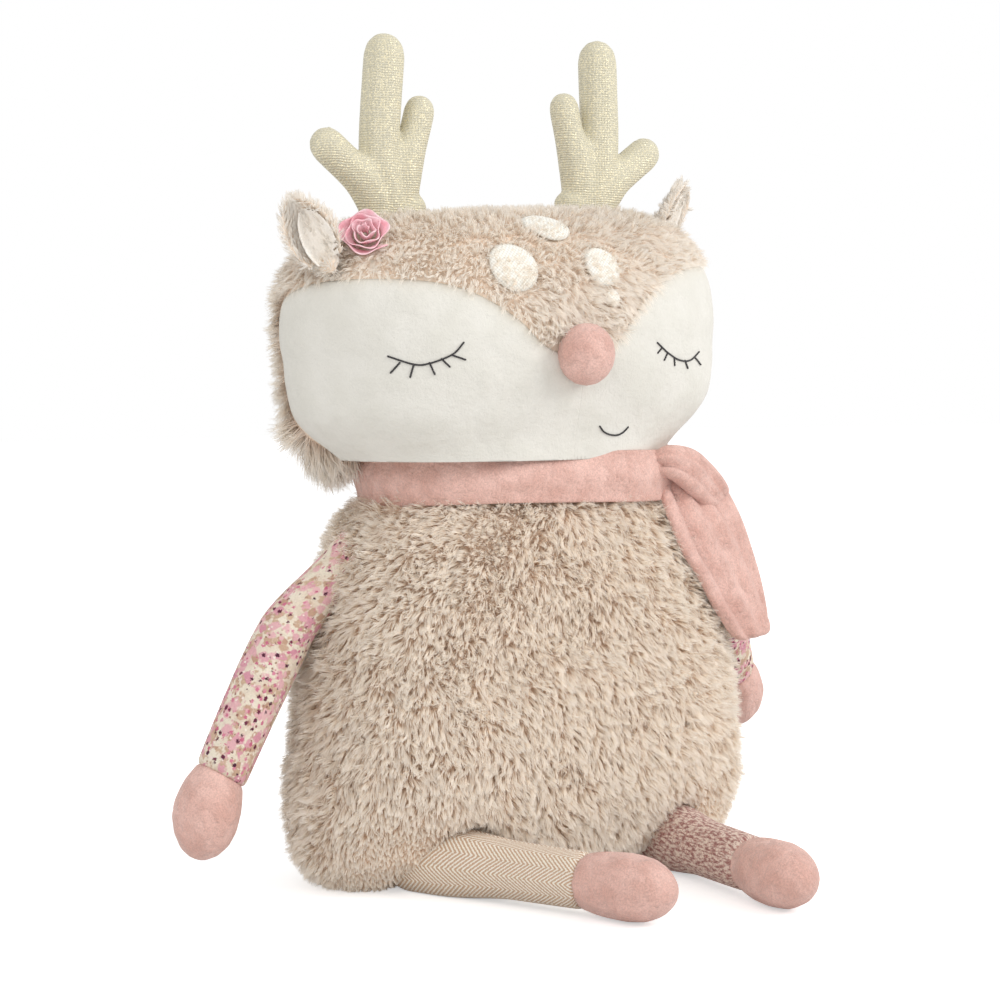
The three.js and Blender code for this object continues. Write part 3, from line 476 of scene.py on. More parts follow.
stroke_width = 1.3 * mm
stroke_length = 4.5 * mm
stroke_edges = (0.42, 0.56)
fleck_edges = (0.5, 0.62)
rose_tweed, marl, marl_shader = cloth("rose tweed", roughness=0.9, sheen=0.1)
round_it, lengthwise, cloth_place = cloth_metres(marl)
stroke_place = put(
    marl,
    "ShaderNodeCombineXYZ",
    {0: calc(marl, "DIVIDE", round_it, stroke_width), 1: calc(marl, "DIVIDE", lengthwise, stroke_length)},
)
strokes = cloud(marl, stroke_place.outputs[0], 1)
flecks = level(marl, cloud(marl, cloth_place, stroke_width), *fleck_edges)
marl_ramp = mix(marl, level(marl, strokes, *stroke_edges), rgb(150, 104, 98), rgb(222, 204, 190))
colour_cloth(marl, marl_shader, mix(marl, flecks, marl_ramp, rgb(190, 150, 140)), strokes, yarn_depth)
print("tweeds:", herringbone.name, rose_tweed.name)

# %% [markdown]
# ## Printed cotton
# The print is built up as a printer does it, one colour over another. Each layer is a jittered grid of
# round cells, some of them left out, with an edge that is as uneven as petals are. A fine mottle over
# all of it stands for ink that soaked in, and a plain weave gives the cotton its tiny relief.


# %% Printed cotton
def weave(tree, across, down, pitch):
    """The tiny over and under of a plain weave."""
    threads = calc(tree, "MULTIPLY", ripple(tree, across, pitch), ripple(tree, down, pitch))
    return calc(tree, "MULTIPLY_ADD", threads, 0.5)


cell_jitter = 0.9
petal_share = 0.7
cell_outside = 1.15
cell_inside = 0.85


def scattered(tree, vector, layer, under):
    """A layer of the print: dots on a jittered grid, some left out, with an uneven edge like petals."""
    spacing, radius, share, colours, petals = layer
    jittered = {"Vector": vector, "Scale": 1 / spacing, "Randomness": cell_jitter}
    cells = put(tree, "ShaderNodeTexVoronoi", jittered)
    chance = put(tree, "ShaderNodeSeparateColor", {0: cells.outputs["Color"]}).outputs
    ragged = cloud(tree, vector, radius * petal_share, detail=1)
    edge = calc(tree, "ADD", cells.outputs["Distance"], level(tree, ragged, 0, 1, -petals, petals))
    size = radius / spacing
    inside = level(tree, edge, size * cell_outside, size * cell_inside)
    kept = calc(tree, "MULTIPLY", inside, calc(tree, "LESS_THAN", chance[0], share))
    return mix(tree, kept, under, mix(tree, chance[1], *colours))


ground_size = 9 * mm
ground_edges = (0.4, 0.6)
ink_size = 0.9 * mm
ink_edges = (0.3, 0.7)
ink_tones = (0.86, 1.06)
cotton_pitch = 0.5 * mm
cotton_depth = 0.08 * mm
floral, print_look, print_shader = cloth("floral cotton", roughness=0.8, specular=0.3)
round_it, lengthwise, cloth_place = cloth_metres(print_look)
ground = level(print_look, cloud(print_look, cloth_place, ground_size), *ground_edges)
floral_colour = mix(print_look, ground, rgb(233, 222, 203), rgb(222, 205, 185))
# a layer's spacing, radius, share of cells that are filled, two colours and unevenness of the edge
print_layers = [
    (4.2 * mm, 2.2 * mm, 0.8, (rgb(206, 178, 152), rgb(188, 150, 128)), 0.35),
    (4.8 * mm, 2.4 * mm, 0.75, (rgb(228, 184, 184), rgb(210, 146, 160)), 0.35),
    (2.7 * mm, 0.9 * mm, 0.5, (rgb(214, 136, 156), rgb(194, 98, 126)), 0.3),
    (2.3 * mm, 0.6 * mm, 0.5, (rgb(238, 230, 214), rgb(236, 212, 208)), 0.25),
    (2.5 * mm, 0.55 * mm, 0.5, (rgb(158, 120, 96), rgb(146, 92, 94)), 0.2),
    (3.0 * mm, 0.95 * mm, 0.4, (rgb(116, 42, 68), rgb(72, 34, 52)), 0.25),
]
for layer in print_layers:
    floral_colour = scattered(print_look, cloth_place, layer, floral_colour)
mottle = cloud(print_look, cloth_place, ink_size, detail=3, roughness=0.7)
ink = level(print_look, mottle, *ink_edges, *ink_tones)
inked = put(print_look, "ShaderNodeHueSaturation", {"Color": floral_colour, "Value": ink}).outputs[0]
cotton_weave = weave(print_look, round_it, lengthwise, cotton_pitch)
colour_cloth(print_look, print_shader, inked, cotton_weave, cotton_depth)
print("printed cotton:", len(print_layers), "layers,", len(print_look.nodes), "nodes")

# %% [markdown]
# ## Knit
# The antlers are a knit with a metal yarn in it. Rows of stitches run across and columns of them up,
# both a little wavy as on a stuffed shape, and specks of gold glint where the metal yarn comes up.

# %% Knit
course_pitch = 1.2 * mm
wale_pitch = 1.5 * mm
course_share = 0.7
wale_share = 0.3
knit_depth = 0.3 * mm
wobble_size = 12 * mm
wobble_reach = 1 * mm
speck_size = 0.8 * mm
speck_edges = (0.5, 0.62)
metal_share = 0.5
shine_edges = (0.4, 0.7)
shine_roughness = (0.75, 0.38)
gold_knit, knit, knit_shader = cloth("gold knit", roughness=0.5, sheen=0.05, specular=0.5)
knit_place = object_place(knit)
knit_parts = put(knit, "ShaderNodeSeparateXYZ", {0: knit_place}).outputs
wobble = level(knit, cloud(knit, knit_place, wobble_size), 0, 1, -wobble_reach, wobble_reach)
courses = level(knit, ripple(knit, calc(knit, "ADD", knit_parts[2], wobble), course_pitch), -1, 1)
wales = level(knit, ripple(knit, calc(knit, "ADD", knit_parts[0], wobble), wale_pitch), -1, 1)
course_part = calc(knit, "MULTIPLY", courses, course_share)
loops = calc(knit, "ADD", course_part, calc(knit, "MULTIPLY", wales, wale_share))
specks = cloud(knit, knit_place, speck_size, detail=1, roughness=0.9)
gold_share = level(knit, specks, *speck_edges)
yarn_colour = mix(knit, loops, rgb(188, 182, 158), rgb(208, 203, 184))
knit_colour = mix(knit, gold_share, yarn_colour, rgb(226, 216, 184))
colour_cloth(knit, knit_shader, knit_colour, loops, knit_depth)
knit.links.new(calc(knit, "MULTIPLY", gold_share, metal_share), knit_shader.inputs["Metallic"])
knit.links.new(level(knit, specks, *shine_edges, *shine_roughness), knit_shader.inputs["Roughness"])
print("knit:", len(knit.nodes), "nodes")

# %% [markdown]
# ## Linen, satin, thread and wadding
# The forehead spots are plain linen and the side label is a finer weave of the same kind. Satin is
# smooth and a little shiny along its folds. The eyes and mouth are black embroidery thread. The
# wadding inside is white and lumpy.


# %% Linen, satin, thread and wadding
def woven_cloth(name, sides, pitch, depth, colours, **numbers):
    """A plain weave of two colours, laid over two of the piece's three directions."""
    made, tree, shader = cloth(name, **numbers)
    parts = put(tree, "ShaderNodeSeparateXYZ", {0: object_place(tree)}).outputs
    over = weave(tree, parts[sides[0]], parts[sides[1]], pitch)
    colour_cloth(tree, shader, mix(tree, over, *colours), over, depth)
    return made


linen_pitch = 1.9 * mm
linen_depth = 0.12 * mm
linen_colours = (rgb(214, 211, 203), rgb(243, 242, 236))
linen = woven_cloth("spot linen", (0, 2), linen_pitch, linen_depth, linen_colours, roughness=0.8)

satin_size = 5 * mm
satin_depth = 0.4 * mm
satin = cloudy_cloth(
    "pink satin",
    satin_size,
    satin_depth,
    (rgb(244, 178, 189), rgb(252, 218, 224)),
    edges=(0.35, 0.65),
    roughness=0.38,
    sheen=0.1,
    specular=0.5,
)

thread_size = 0.5 * mm
thread_colours = (rgb(24, 22, 24), rgb(52, 48, 50))
thread = cloudy_cloth("black thread", thread_size, 0, thread_colours, roughness=0.55, specular=0.4)

wadding_size = 6 * mm
wadding_depth = 2 * mm
wadding_colours = (rgb(225, 225, 222), rgb(248, 248, 246))
wadding = cloudy_cloth(
    "wadding", wadding_size, wadding_depth, wadding_colours, detail=5, roughness=0.95, sheen=0.2
)

label_pitch = 0.6 * mm
label_depth = 0.1 * mm
label_colours = (rgb(226, 220, 218), rgb(243, 240, 238))
label_cloth = woven_cloth(
    "woven label", (1, 2), label_pitch, label_depth, label_colours, roughness=0.5, specular=0.4
)
print("finishes so far:", len(bpy.data.materials))

# %% [markdown]
# ## From flat facets to stuffed cloth
# The frame's parts have few faces. Stuffed cloth is round, so a piece starts as a merged copy of its
# frame part, is rebuilt as a fine even skin by a voxel remesh, and is smoothed. That keeps every
# hollow that a neighbour needs, and gives the fur, the weave and the folds an even mesh to work on.

# %% Softening
weld_distance = 0.01 * mm


def bake(piece):
    """Turns what the modifiers show into the piece's own mesh."""
    graph = bpy.context.evaluated_depsgraph_get()
    made = bpy.data.meshes.new_from_object(piece.evaluated_get(graph))
    piece.modifiers.clear()
    piece.data = made
    made.name = piece.name
    return piece


def shade(piece):
    """Shows the faces as one smooth surface."""
    piece.data.polygons.foreach_set("use_smooth", [True] * len(piece.data.polygons))


def cut_level(work, height, **cleared):
    """Cuts a bmesh at a height, clears one side of the cut, and gives what lies on the cut."""
    everything = work.verts[:] + work.edges[:] + work.faces[:]
    plane = {"plane_co": (0, 0, height), "plane_no": (0, 0, 1)}
    return bmesh.ops.bisect_plane(work, geom=everything, **plane, **cleared)["geom_cut"]


def soften(name, parts, voxel, passes, swell=0.0, cut_above=None, foot=0.0, lowered=0.0):
    """One even, smooth skin round the named frame parts, swelled or shrunk a little.

    What lies under the foot's height can be lowered first, so that smoothing doesn't round the form there.
    """
    work = bmesh.new()
    for part in parts:
        work.from_mesh(nodes[part].data)
    bmesh.ops.remove_doubles(work, verts=work.verts, dist=weld_distance)
    for vertex in work.verts:
        if vertex.co.z < foot:
            vertex.co.z -= lowered
    if cut_above is not None:
        cut = cut_level(work, cut_above, clear_outer=True)
        bmesh.ops.holes_fill(work, edges=[e for e in cut if isinstance(e, bmesh.types.BMEdge)])
    piece = from_work(name, work)
    remesh = piece.modifiers.new("remesh", "REMESH")
    remesh.mode = "VOXEL"
    remesh.voxel_size = voxel
    smooth = piece.modifiers.new("smooth", "SMOOTH")
    smooth.iterations = passes
    if swell:
        grow = piece.modifiers.new("swell", "DISPLACE")
        grow.mid_level = 0
        grow.strength = swell
    bake(piece)
    for vertex in piece.data.vertices:
        vertex.co.z = max(vertex.co.z, 0)
    shade(piece)
    return piece


def stuffed(piece, body, finish, parts):
    """Dresses a stuffed piece, fastens it to its body and hides its frame parts."""
    wear(piece, finish)
    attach(piece, body)
    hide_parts(*parts)
    return piece


print("smallest part:", min(len(n.data.polygons) for n in nodes.values()), "faces")

# %% [markdown]
# ## Body and head skins
# Both pillows are skins that carry the fur. The skin is the cloth that the pile stands on, so it keeps
# the frame's shape and is rounded. A heavy pillow head also sags: the cheeks push out over the scarf
# and the nape hangs down behind it. Each sag is a rule of a point's turn from the nose and its height.

# %% Body and head skins
skin_voxel = 3.2 * mm
skin_passes = 6
body_top = 191.5 * mm
torso_swell = 1.5 * mm
head_turn = math.radians(5)
head_roll = math.radians(-3)
head_base = 192 * mm
head_half_width = 119 * mm
head_shift = -6 * mm
jowl_low = 14 * mm
jowl_middle = 33 * mm
jowl_high = 72 * mm
jowl_out = 9 * mm
jowl_turns = (math.radians(35), math.radians(85))
nape_turns = (math.radians(125), math.radians(170))
front_turns = (math.radians(75), math.radians(105))
nape_start = (math.radians(94), math.radians(112))
nape_inner = 78 * mm
nape_outer = 94 * mm
nape_height = 60 * mm
nape_sag = 20 * mm
head_place = (
    Matrix.Translation((0, 0, head_base))
    @ Matrix.Rotation(head_turn, 4, "Z")
    @ Matrix.Rotation(head_roll, 4, "Y")
)
to_head = head_place.inverted()


def ease(value, low, high):
    """0 below the low value, 1 above the high one, and a soft step between."""
    share = max(0.0, min(1.0, (value - low) / (high - low)))
    return share * share * (3 - 2 * share)


def head_spot(spot):
    """A place on the head as its turn from the nose, its height and its direction from the axis."""
    inner = to_head @ spot
    outward = Vector((inner.x - head_shift, inner.y, 0))
    return math.atan2(abs(outward.x), -outward.y), inner.z, outward.normalized()


def add_jowls(piece):
    """Lets the cheeks sag outwards over the scarf, as they do on a heavy pillow head."""
    for vertex in piece.data.vertices:
        turn, height, outward = head_spot(vertex.co)
        round_it = ease(turn, *jowl_turns) * (1 - ease(turn, *nape_turns))
        upright = ease(height, jowl_low, jowl_middle) * (1 - ease(height, jowl_middle, jowl_high))
        vertex.co += head_place.to_3x3() @ outward * (jowl_out * round_it * upright)


def add_nape(piece):
    """Lets the back of the head hang down behind the scarf."""
    for vertex in piece.data.vertices:
        turn, height, outward = head_spot(vertex.co)
        apart = (vertex.co - head_place @ Vector((head_shift, 0, height))).length
        behind = ease(turn, *nape_start) * ease(apart, nape_inner, nape_outer)
        vertex.co.z -= nape_sag * (behind * (1 - ease(height, 0, nape_height)))


body_parts = ["torso_front", "torso_back", "seat_panel", "torso_stuffing"]
torso_skin = soften("torso_skin", body_parts, skin_voxel, skin_passes, torso_swell, body_top)
stuffed(torso_skin, "torso", backing, ["torso_front", "torso_back", "seat_panel"])
head_parts = ["head_front", "head_back", "face_panel_right", "face_panel_left", "head_stuffing"]
head_skin = soften("head_skin", head_parts, skin_voxel, skin_passes)
add_jowls(head_skin)
add_nape(head_skin)
stuffed(head_skin, "head", backing, ["head_front", "head_back"])
for skin in (torso_skin, head_skin):
    print(skin.name, len(skin.data.vertices), "points,", round(area_of(skin), 4), "m2")

# %% [markdown]
# ## What is inside
# The stuffing and the bag of pellets can't be seen, but a part that can be taken apart has them: a
# lumpy wadding core in each pillow and a soft round bag at the seat.

# %% Stuffing and pellet bag
core_voxel = 4 * mm
core_shrink = -1.5 * mm
bag_voxel = 3 * mm
bag_passes = 4
bag_shrink = -0.6 * mm
torso_core = soften("torso_wadding", ["torso_stuffing"], core_voxel, skin_passes, core_shrink)
stuffed(torso_core, "torso", wadding, ["torso_stuffing"])
head_core = soften("head_wadding", ["head_stuffing"], core_voxel, skin_passes, core_shrink)
stuffed(head_core, "head", wadding, ["head_stuffing"])
pellet_bag = soften("pellet_pouch", ["pellet_bag"], bag_voxel, bag_passes, bag_shrink)
stuffed(pellet_bag, "torso", wadding, ["pellet_bag"])
print("cores:", [len(p.data.polygons) for p in (torso_core, head_core, pellet_bag)])

# %% [markdown]
# ## Finding a place on the head
# The face's pieces are sewn flat on the head, so each of their points is found by looking at a
# smoother copy of the head and taking the spot that the look hits. Small pieces are looked at from the
# front, and their places are shares of the head's half width and of its height, as a pattern cutter
# would mark them on a face panel. The lobes wrap round the cheeks, so they are looked at from all round.

# %% Finding a place on the head
face_low = 5 * mm
face_height = 139 * mm
look_from = -300 * mm
stand_share = 0.03
notch_share = 0.44
press_height = 40 * mm
form_passes = 14
form_foot = 214 * mm
form_drop = 30 * mm
head_form = soften("head_form", head_parts, skin_voxel, form_passes, foot=form_foot, lowered=form_drop)
add_jowls(head_form)
bpy.context.view_layer.update()
head_rays = BVHTree.FromObject(head_form, bpy.context.evaluated_depsgraph_get())
bpy.data.objects.remove(head_form)


def seen_from(start, way, lift):
    """Where a look from a start meets the head, lifted off the cloth there."""
    spot, normal = head_rays.ray_cast(start, way)[:2]
    if spot is None:
        raise ValueError(f"a look from {in_mm(start)} misses the head")
    return spot + normal * lift


def on_head(x, z, lift):
    """The spot on the head straight behind a place in its own frame."""
    return seen_from(head_place @ Vector((x, look_from, z)), head_place.to_3x3() @ Vector((0, 1, 0)), lift)


def on_face(x_share, z_share, lift):
    """The spot on the head behind a place that is given in shares of the face."""
    return on_head(head_shift + x_share * head_half_width, face_low + z_share * face_height, lift)


def round_head(side, turn, height, lift):
    """The spot at a turn from the nose and a height, seen from outside towards the head's axis."""
    outward = Vector((side * math.sin(turn), -math.cos(turn), 0))
    start = head_place @ (Vector((head_shift, 0, height)) - outward * look_from)
    return seen_from(start, -(head_place.to_3x3() @ outward), lift)


def head_stand(x_share, z_share):
    """A place on the head with the directions across, up and out of the cloth there."""
    right, left = (on_face(x_share + step, z_share, 0) for step in (stand_share, -stand_share))
    high, low = (on_face(x_share, z_share + step, 0) for step in (stand_share, -stand_share))
    across = (right - left).normalized()
    over = (high - low).normalized()
    out = across.cross(over).normalized()
    return on_face(x_share, z_share, 0), across, out.cross(across), out


def pressed(stand, x, z, lift):
    """A point of a patch that is pressed on the head round its stand."""
    spot, across, over, out = stand
    return seen_from(spot + across * x + over * z + out * press_height, -out, lift)


print("tip of the V:", in_mm(on_face(0, notch_share, 0)))

# %% [markdown]
# ## Curves and patches
# A cloth's outline is a few given points with a smooth curve through them, as a pattern cutter draws it
# with a French curve. A flat patch of any outline is then a fan of rings between its middle and its rim,
# because a ring can be laid on the head point by point.


# %% Curves and patches
def smooth_line(points, steps):
    """A smooth line through the points, each a tuple, with a few steps in every gap."""
    line = []
    ends = [points[0]] + list(points) + [points[-1]]
    for i in range(len(points) - 1):
        a, b, c, d = (Vector(p) for p in ends[i : i + 4])
        for step in range(steps):
            t = step / steps
            bend = 2 * a - 5 * b + 4 * c - d
            twist = 3 * b - a - 3 * c + d
            line.append(0.5 * (2 * b + (c - a) * t + bend * t**2 + twist * t**3))
    line.append(Vector(points[-1]))
    return line


def patch(name, rings, place_at):
    """A round sheet of cloth: place_at(ring, step) gives each point from the middle to the rim."""
    work = bmesh.new()
    ring_count, step_count = rings
    middle = work.verts.new(place_at(0, 0))
    grid = [[work.verts.new(place_at(r, s)) for s in range(step_count)] for r in range(1, ring_count + 1)]
    for s in range(step_count):
        work.faces.new((middle, grid[0][s], grid[0][s - 1]))
        for inner, outer in zip(grid, grid[1:]):
            work.faces.new((inner[s - 1], inner[s], outer[s], outer[s - 1]))
    return from_work(name, work)


def thicken(piece, wall, outward=0.0):
    """Gives a sheet its thickness, from -1 inwards to 1 outwards."""
    solid = piece.modifiers.new("wall", "SOLIDIFY")
    solid.thickness = wall
    solid.offset = outward
    bake(piece)
    shade(piece)


print("a line through 3 points has", len(smooth_line([(0, 0), (1, 1), (2, 0)], 8)), "points")

# %% [markdown]
# ## Face
# Two white lobes meet under the nose, in a seam that the pile hides, and part in a V between the eyes.
# Each is a patch that follows its outline, lies on the head, and dips at its rim as sewn cloth does,
# but hardly where the two meet. Its outline is in degrees of turn from the nose and millimetres of
# height, because the face wraps far round the cheeks. Both lobes end in a tuck behind the scarf.

# %% Face
lobe_outline = [
    (-0.6, 66.2),
    (10, 67.6),
    (19, 73),
    (27, 82.8),
    (35, 91),
    (47, 100),
    (60, 105),
    (74, 106.5),
    (86, 104.5),
    (95, 99),
    (100, 90),
    (102, 76),
    (101, 58),
    (99, 40),
    (95, 27),
    (86, 17),
    (60, 11),
    (30, 9.5),
    (-0.6, 9.2),
]
lobe_middle = Vector((54, 58))
lobe_rings = 36
lobe_steps = 8
seam_steps = 24
lobe_lift = 2.2 * mm
lobe_dip = 1.4 * mm
dip_power = 10
ring_power = 0.8
velboa_wall = 1 * mm
scarf_top = 212 * mm
scarf_tuck = 4 * mm
rim_share = 0.97
seam_share = 0.15
seam_turn = 12
lobe_rim = smooth_line(lobe_outline, lobe_steps)


def face_lobe(side):
    """One lobe of the face and its area; side is -1 for the deer's right."""
    seam = [lobe_rim[-1].lerp(lobe_rim[0], i / seam_steps) for i in range(1, seam_steps)]
    rim = lobe_rim + seam
    if side < 0:
        rim.reverse()

    def place_at(ring, step):
        share = ring / lobe_rings
        spot = lobe_middle.lerp(rim[step], share**ring_power)
        dip = lobe_dip * (seam_share + (1 - seam_share) * ease(spot.x, 0, seam_turn))
        return round_head(side, math.radians(spot.x), spot.y * mm, lobe_lift - dip * share**dip_power)

    piece = patch(f"face_lobe_{'right' if side < 0 else 'left'}", (lobe_rings, len(rim)), place_at)
    work = bmesh.new()
    work.from_mesh(piece.data)
    cut_level(work, scarf_top - scarf_tuck, clear_inner=True)
    work.to_mesh(piece.data)
    work.free()
    cut_area = area_of(piece)
    thicken(piece, velboa_wall, -1)
    return piece, cut_area


def under_lobe(turn, height):
    """True where a lobe of the face covers the head; the turn is in degrees, the height in millimetres."""
    inside = False
    inner = [lobe_middle.lerp(spot, rim_share) if spot.x > 0 else spot for spot in lobe_rim]
    for a, b in zip(inner, inner[1:] + inner[:1]):
        if (a.y > height) != (b.y > height) and turn < a.x + (height - a.y) * (b.x - a.x) / (b.y - a.y):
            inside = not inside
    return inside


face_lobes = []
for side, word in ((-1, "right"), (1, "left")):
    lobe, cut_area = face_lobe(side)
    wear(lobe, face_white)
    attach(lobe, "head")
    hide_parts(f"face_panel_{word}")
    face_lobes.append(lobe)
    print(lobe.name, round(cut_area, 4), "m2")

# %% [markdown]
# ## Embroidered eyes and mouth
# Closed eyes and a small smile are sewn in black thread. Short stitches follow one line, each a little
# longer than the step to the next, so they overlap. Geometry Nodes step along the line and lay a
# stitch at every step.

# %% A tree that sews along a line
stitch_sides = 8
stitch_rings = 6


def stitch_tree():
    """Lays a stitch, a long ball of thread, at every step along a line."""
    tree = bpy.data.node_groups.new("stitches along a line", "GeometryNodeTree")
    tree.interface.new_socket("Line", in_out="INPUT", socket_type="NodeSocketGeometry")
    for name in ("Step", "Thickness", "Length"):
        tree.interface.new_socket(name, in_out="INPUT", socket_type="NodeSocketFloat")
    tree.interface.new_socket("Thread", in_out="INPUT", socket_type="NodeSocketMaterial")
    tree.interface.new_socket("Stitches", in_out="OUTPUT", socket_type="NodeSocketGeometry")
    given = tree.nodes.new("NodeGroupInput").outputs
    line = put(tree, "GeometryNodeMeshToCurve", {0: given["Line"]}).outputs[0]
    steps = put(tree, "GeometryNodeResampleCurve", {"Curve": line}, mode="LENGTH")
    tree.links.new(given["Step"], steps.inputs["Length"])
    round_ball = {"Segments": stitch_sides, "Rings": stitch_rings, "Radius": 1 / 2}
    ball = put(tree, "GeometryNodeMeshUVSphere", round_ball).outputs[0]
    tangent = tree.nodes.new("GeometryNodeInputTangent").outputs[0]
    turn = put(tree, "FunctionNodeAlignRotationToVector", {"Vector": tangent}, axis="Z").outputs[0]
    sizes = {0: given["Thickness"], 1: given["Thickness"], 2: given["Length"]}
    size = put(tree, "ShaderNodeCombineXYZ", sizes)
    laid = put(tree, "GeometryNodeInstanceOnPoints", {"Points": steps.outputs[0], "Instance": ball})
    tree.links.new(turn, laid.inputs["Rotation"])
    tree.links.new(size.outputs[0], laid.inputs["Scale"])
    real = put(tree, "GeometryNodeRealizeInstances", {0: laid.outputs[0]})
    smooth = put(tree, "GeometryNodeSetShadeSmooth", {0: real.outputs[0]})
    dressed = put(tree, "GeometryNodeSetMaterial", {0: smooth.outputs[0]})
    tree.links.new(given["Thread"], dressed.inputs["Material"])
    put(tree, "NodeGroupOutput", {0: dressed.outputs[0]})
    return tree


def grown(name, mesh, tree, inputs):
    """Runs a tree on a mesh and keeps the plain mesh that it makes."""
    piece = new_piece(name, mesh)
    modifier = piece.modifiers.new("tree", "NODES")
    modifier.node_group = tree
    for item in tree.interface.items_tree:
        if item.in_out == "INPUT" and item.name in inputs:
            modifier[item.identifier] = inputs[item.name]
    return bake(piece)


def line_mesh(name, lines):
    """Edges through each list of points."""
    points = [p for line in lines for p in line]
    edges = []
    start = 0
    for line in lines:
        edges += [(start + i, start + i + 1) for i in range(len(line) - 1)]
        start += len(line)
    mesh = bpy.data.meshes.new(name)
    mesh.from_pydata(points, edges, [])
    return mesh


sewing = stitch_tree()
print("sewing tree:", len(sewing.nodes), "nodes")

# %% [markdown]
# The eyes, lashes and mouth are lines of a few points in shares of the face. Each is laid on the lobes
# and goes through the tree above.

# %% Eyes and mouth
thread_step = 0.9 * mm
thread_thickness = 0.95 * mm
thread_length = 1.6 * mm
thread_gap = 0.25 * mm
line_steps = 12
embroidery_low_share = 0.085
embroidery_span_share = 0.915
right_eye_shares = [(-0.791, 0.426), (-0.712, 0.393), (-0.656, 0.394), (-0.573, 0.423), (-0.532, 0.461)]
right_lash_shares = [
    [(-0.758, 0.399), (-0.784, 0.368)],
    [(-0.712, 0.39), (-0.724, 0.35)],
    [(-0.656, 0.394), (-0.64, 0.357)],
    [(-0.613, 0.406), (-0.587, 0.38)],
    [(-0.573, 0.419), (-0.527, 0.402)],
]
left_eye_shares = [(0.397, 0.418), (0.463, 0.377), (0.54, 0.347), (0.613, 0.342), (0.687, 0.37)]
left_lash_shares = [
    [(0.42, 0.398), (0.4, 0.383)],
    [(0.456, 0.377), (0.44, 0.355)],
    [(0.503, 0.355), (0.508, 0.332)],
    [(0.58, 0.341), (0.6, 0.315)],
    [(0.658, 0.348), (0.705, 0.322)],
]
mouth_shares = [(0.122, 0.12), (0.155, 0.093), (0.206, 0.08), (0.25, 0.086), (0.278, 0.106)]


def sewn_line(marks):
    """A line of the embroidery, laid just over the lobes."""
    return [
        on_face(mark.x, embroidery_low_share + embroidery_span_share * mark.y, lobe_lift + thread_gap)
        for mark in smooth_line(marks, line_steps)
    ]


face_lines = {
    "eye_right": [right_eye_shares] + right_lash_shares,
    "eye_left": [left_eye_shares] + left_lash_shares,
    "mouth": [mouth_shares],
}
stitch = {"Step": thread_step, "Thickness": thread_thickness, "Length": thread_length, "Thread": thread}
for name, marks in face_lines.items():
    mesh = line_mesh(name, [sewn_line(line) for line in marks])
    sewn = grown(f"embroidered_{name}", mesh, sewing, stitch)
    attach(sewn, "head")
    print(sewn.name, len(sewn.data.polygons), "faces")

# %% [markdown]
# ## Nose and forehead spots
# The nose is a small stuffed ball of pink velour. The spots are round patches of white linen on the
# forehead. Each stands a little off the skin, on the fur that it presses down, and turns down at its
# rim. A patch is pressed on the head from its own stand, so that it stays round on the curved cloth.

# %% Nose and forehead spots
nose_voxel = 1.2 * mm
nose_passes = 5
nose = soften("nose_ball", ["nose"], nose_voxel, nose_passes)
stuffed(nose, "head", pink_velour, ["nose"])

spot_rings = 8
spot_steps = 48
spot_lift = 3.4 * mm
spot_dip = 1.1 * mm
spot_dip_power = 6
spot_wall = 1 * mm
spot_hem = 1 * mm
spots = {
    "spot_right": (-0.266, 0.747, 12.5 * mm),
    "spot_top": (0.003, 0.877, 12 * mm),
    "spot_left": (0.157, 0.736, 10 * mm),
    "spot_low": (0.17, 0.629, 4.2 * mm),
}


def linen_disc(name, stand, radius):
    """A round patch, pressed on the head and turned down at its rim."""

    def place_at(ring, step):
        turn = -full_turn * step / spot_steps
        reach = radius * ring / spot_rings
        lift = spot_lift - spot_dip * (ring / spot_rings) ** spot_dip_power
        return pressed(stand, reach * math.cos(turn), reach * math.sin(turn), lift)

    return patch(name, (spot_rings, spot_steps), place_at)


linen_spots = []
for name, (x_share, z_share, radius) in spots.items():
    disc = linen_disc(f"linen_{name}", head_stand(x_share, z_share), radius)
    cut_area = area_of(disc)
    thicken(disc, spot_wall, -1)
    wear(disc, linen)
    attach(disc, "head")
    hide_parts(name)
    side = 2 * (radius + spot_hem)
    linen_spots.append(disc)
    print(disc.name, round(radius / mm, 1), "mm")

# %% [markdown]
# ## Scarf
# The scarf is one long strip of velour with a soft rounded edge. Its band goes round the neck with
# lengthwise folds, a wrap holds it at the deer's left, and two tails hang from there. It could be
# draped by a cloth simulation, but a knot that was tied by hand has folds that no simulation repeats,
# so the strip is built along its way. Folds here are waves that wander as they go round.

# %% Scarf band
band_half_width = 81 * mm
band_half_depth = 52 * mm
band_middle = 199.5 * mm
band_half_height = 12.8 * mm
band_half_wall = 4.4 * mm
band_square = 2 / 2.35
band_steps = 220
band_sides = 36
wall_square = 0.55
fold_depth = 1.1 * mm
fold_waves = 3.2
fold_wander = 0.9
band_sag = 0.9 * mm


def squared_off(value, power):
    """Pushes a sine or cosine towards its ends, which makes a circle into a rounded box."""
    return math.copysign(abs(value) ** power, value)


def round_neck(turn):
    """The middle of the band and its outward direction at a turn round the neck."""
    c = math.cos(turn)
    s = math.sin(turn)
    x = squared_off(c, band_square) * band_half_width
    y = squared_off(s, band_square) * band_half_depth
    outward = Vector((band_half_depth * c, band_half_width * s, 0)).normalized()
    return Vector((x, y, band_middle)), outward


def tube(name, rings, meets):
    """A tube through rings of points, which meets itself again or is closed by a face at each end."""
    count = len(rings[0])
    starts = [i * count for i in range(len(rings))]
    faces = []
    for here, there in zip(starts, starts[1:] + (starts[:1] if meets else [])):
        for k in range(count):
            beside = (k + 1) % count
            faces.append((here + k, here + beside, there + beside, there + k))
    if not meets:
        faces.append(tuple(reversed(range(count))))
        faces.append(tuple(range(starts[-1], starts[-1] + count)))
    piece = from_points(name, [p for ring in rings for p in ring], faces)
    shade(piece)
    return piece


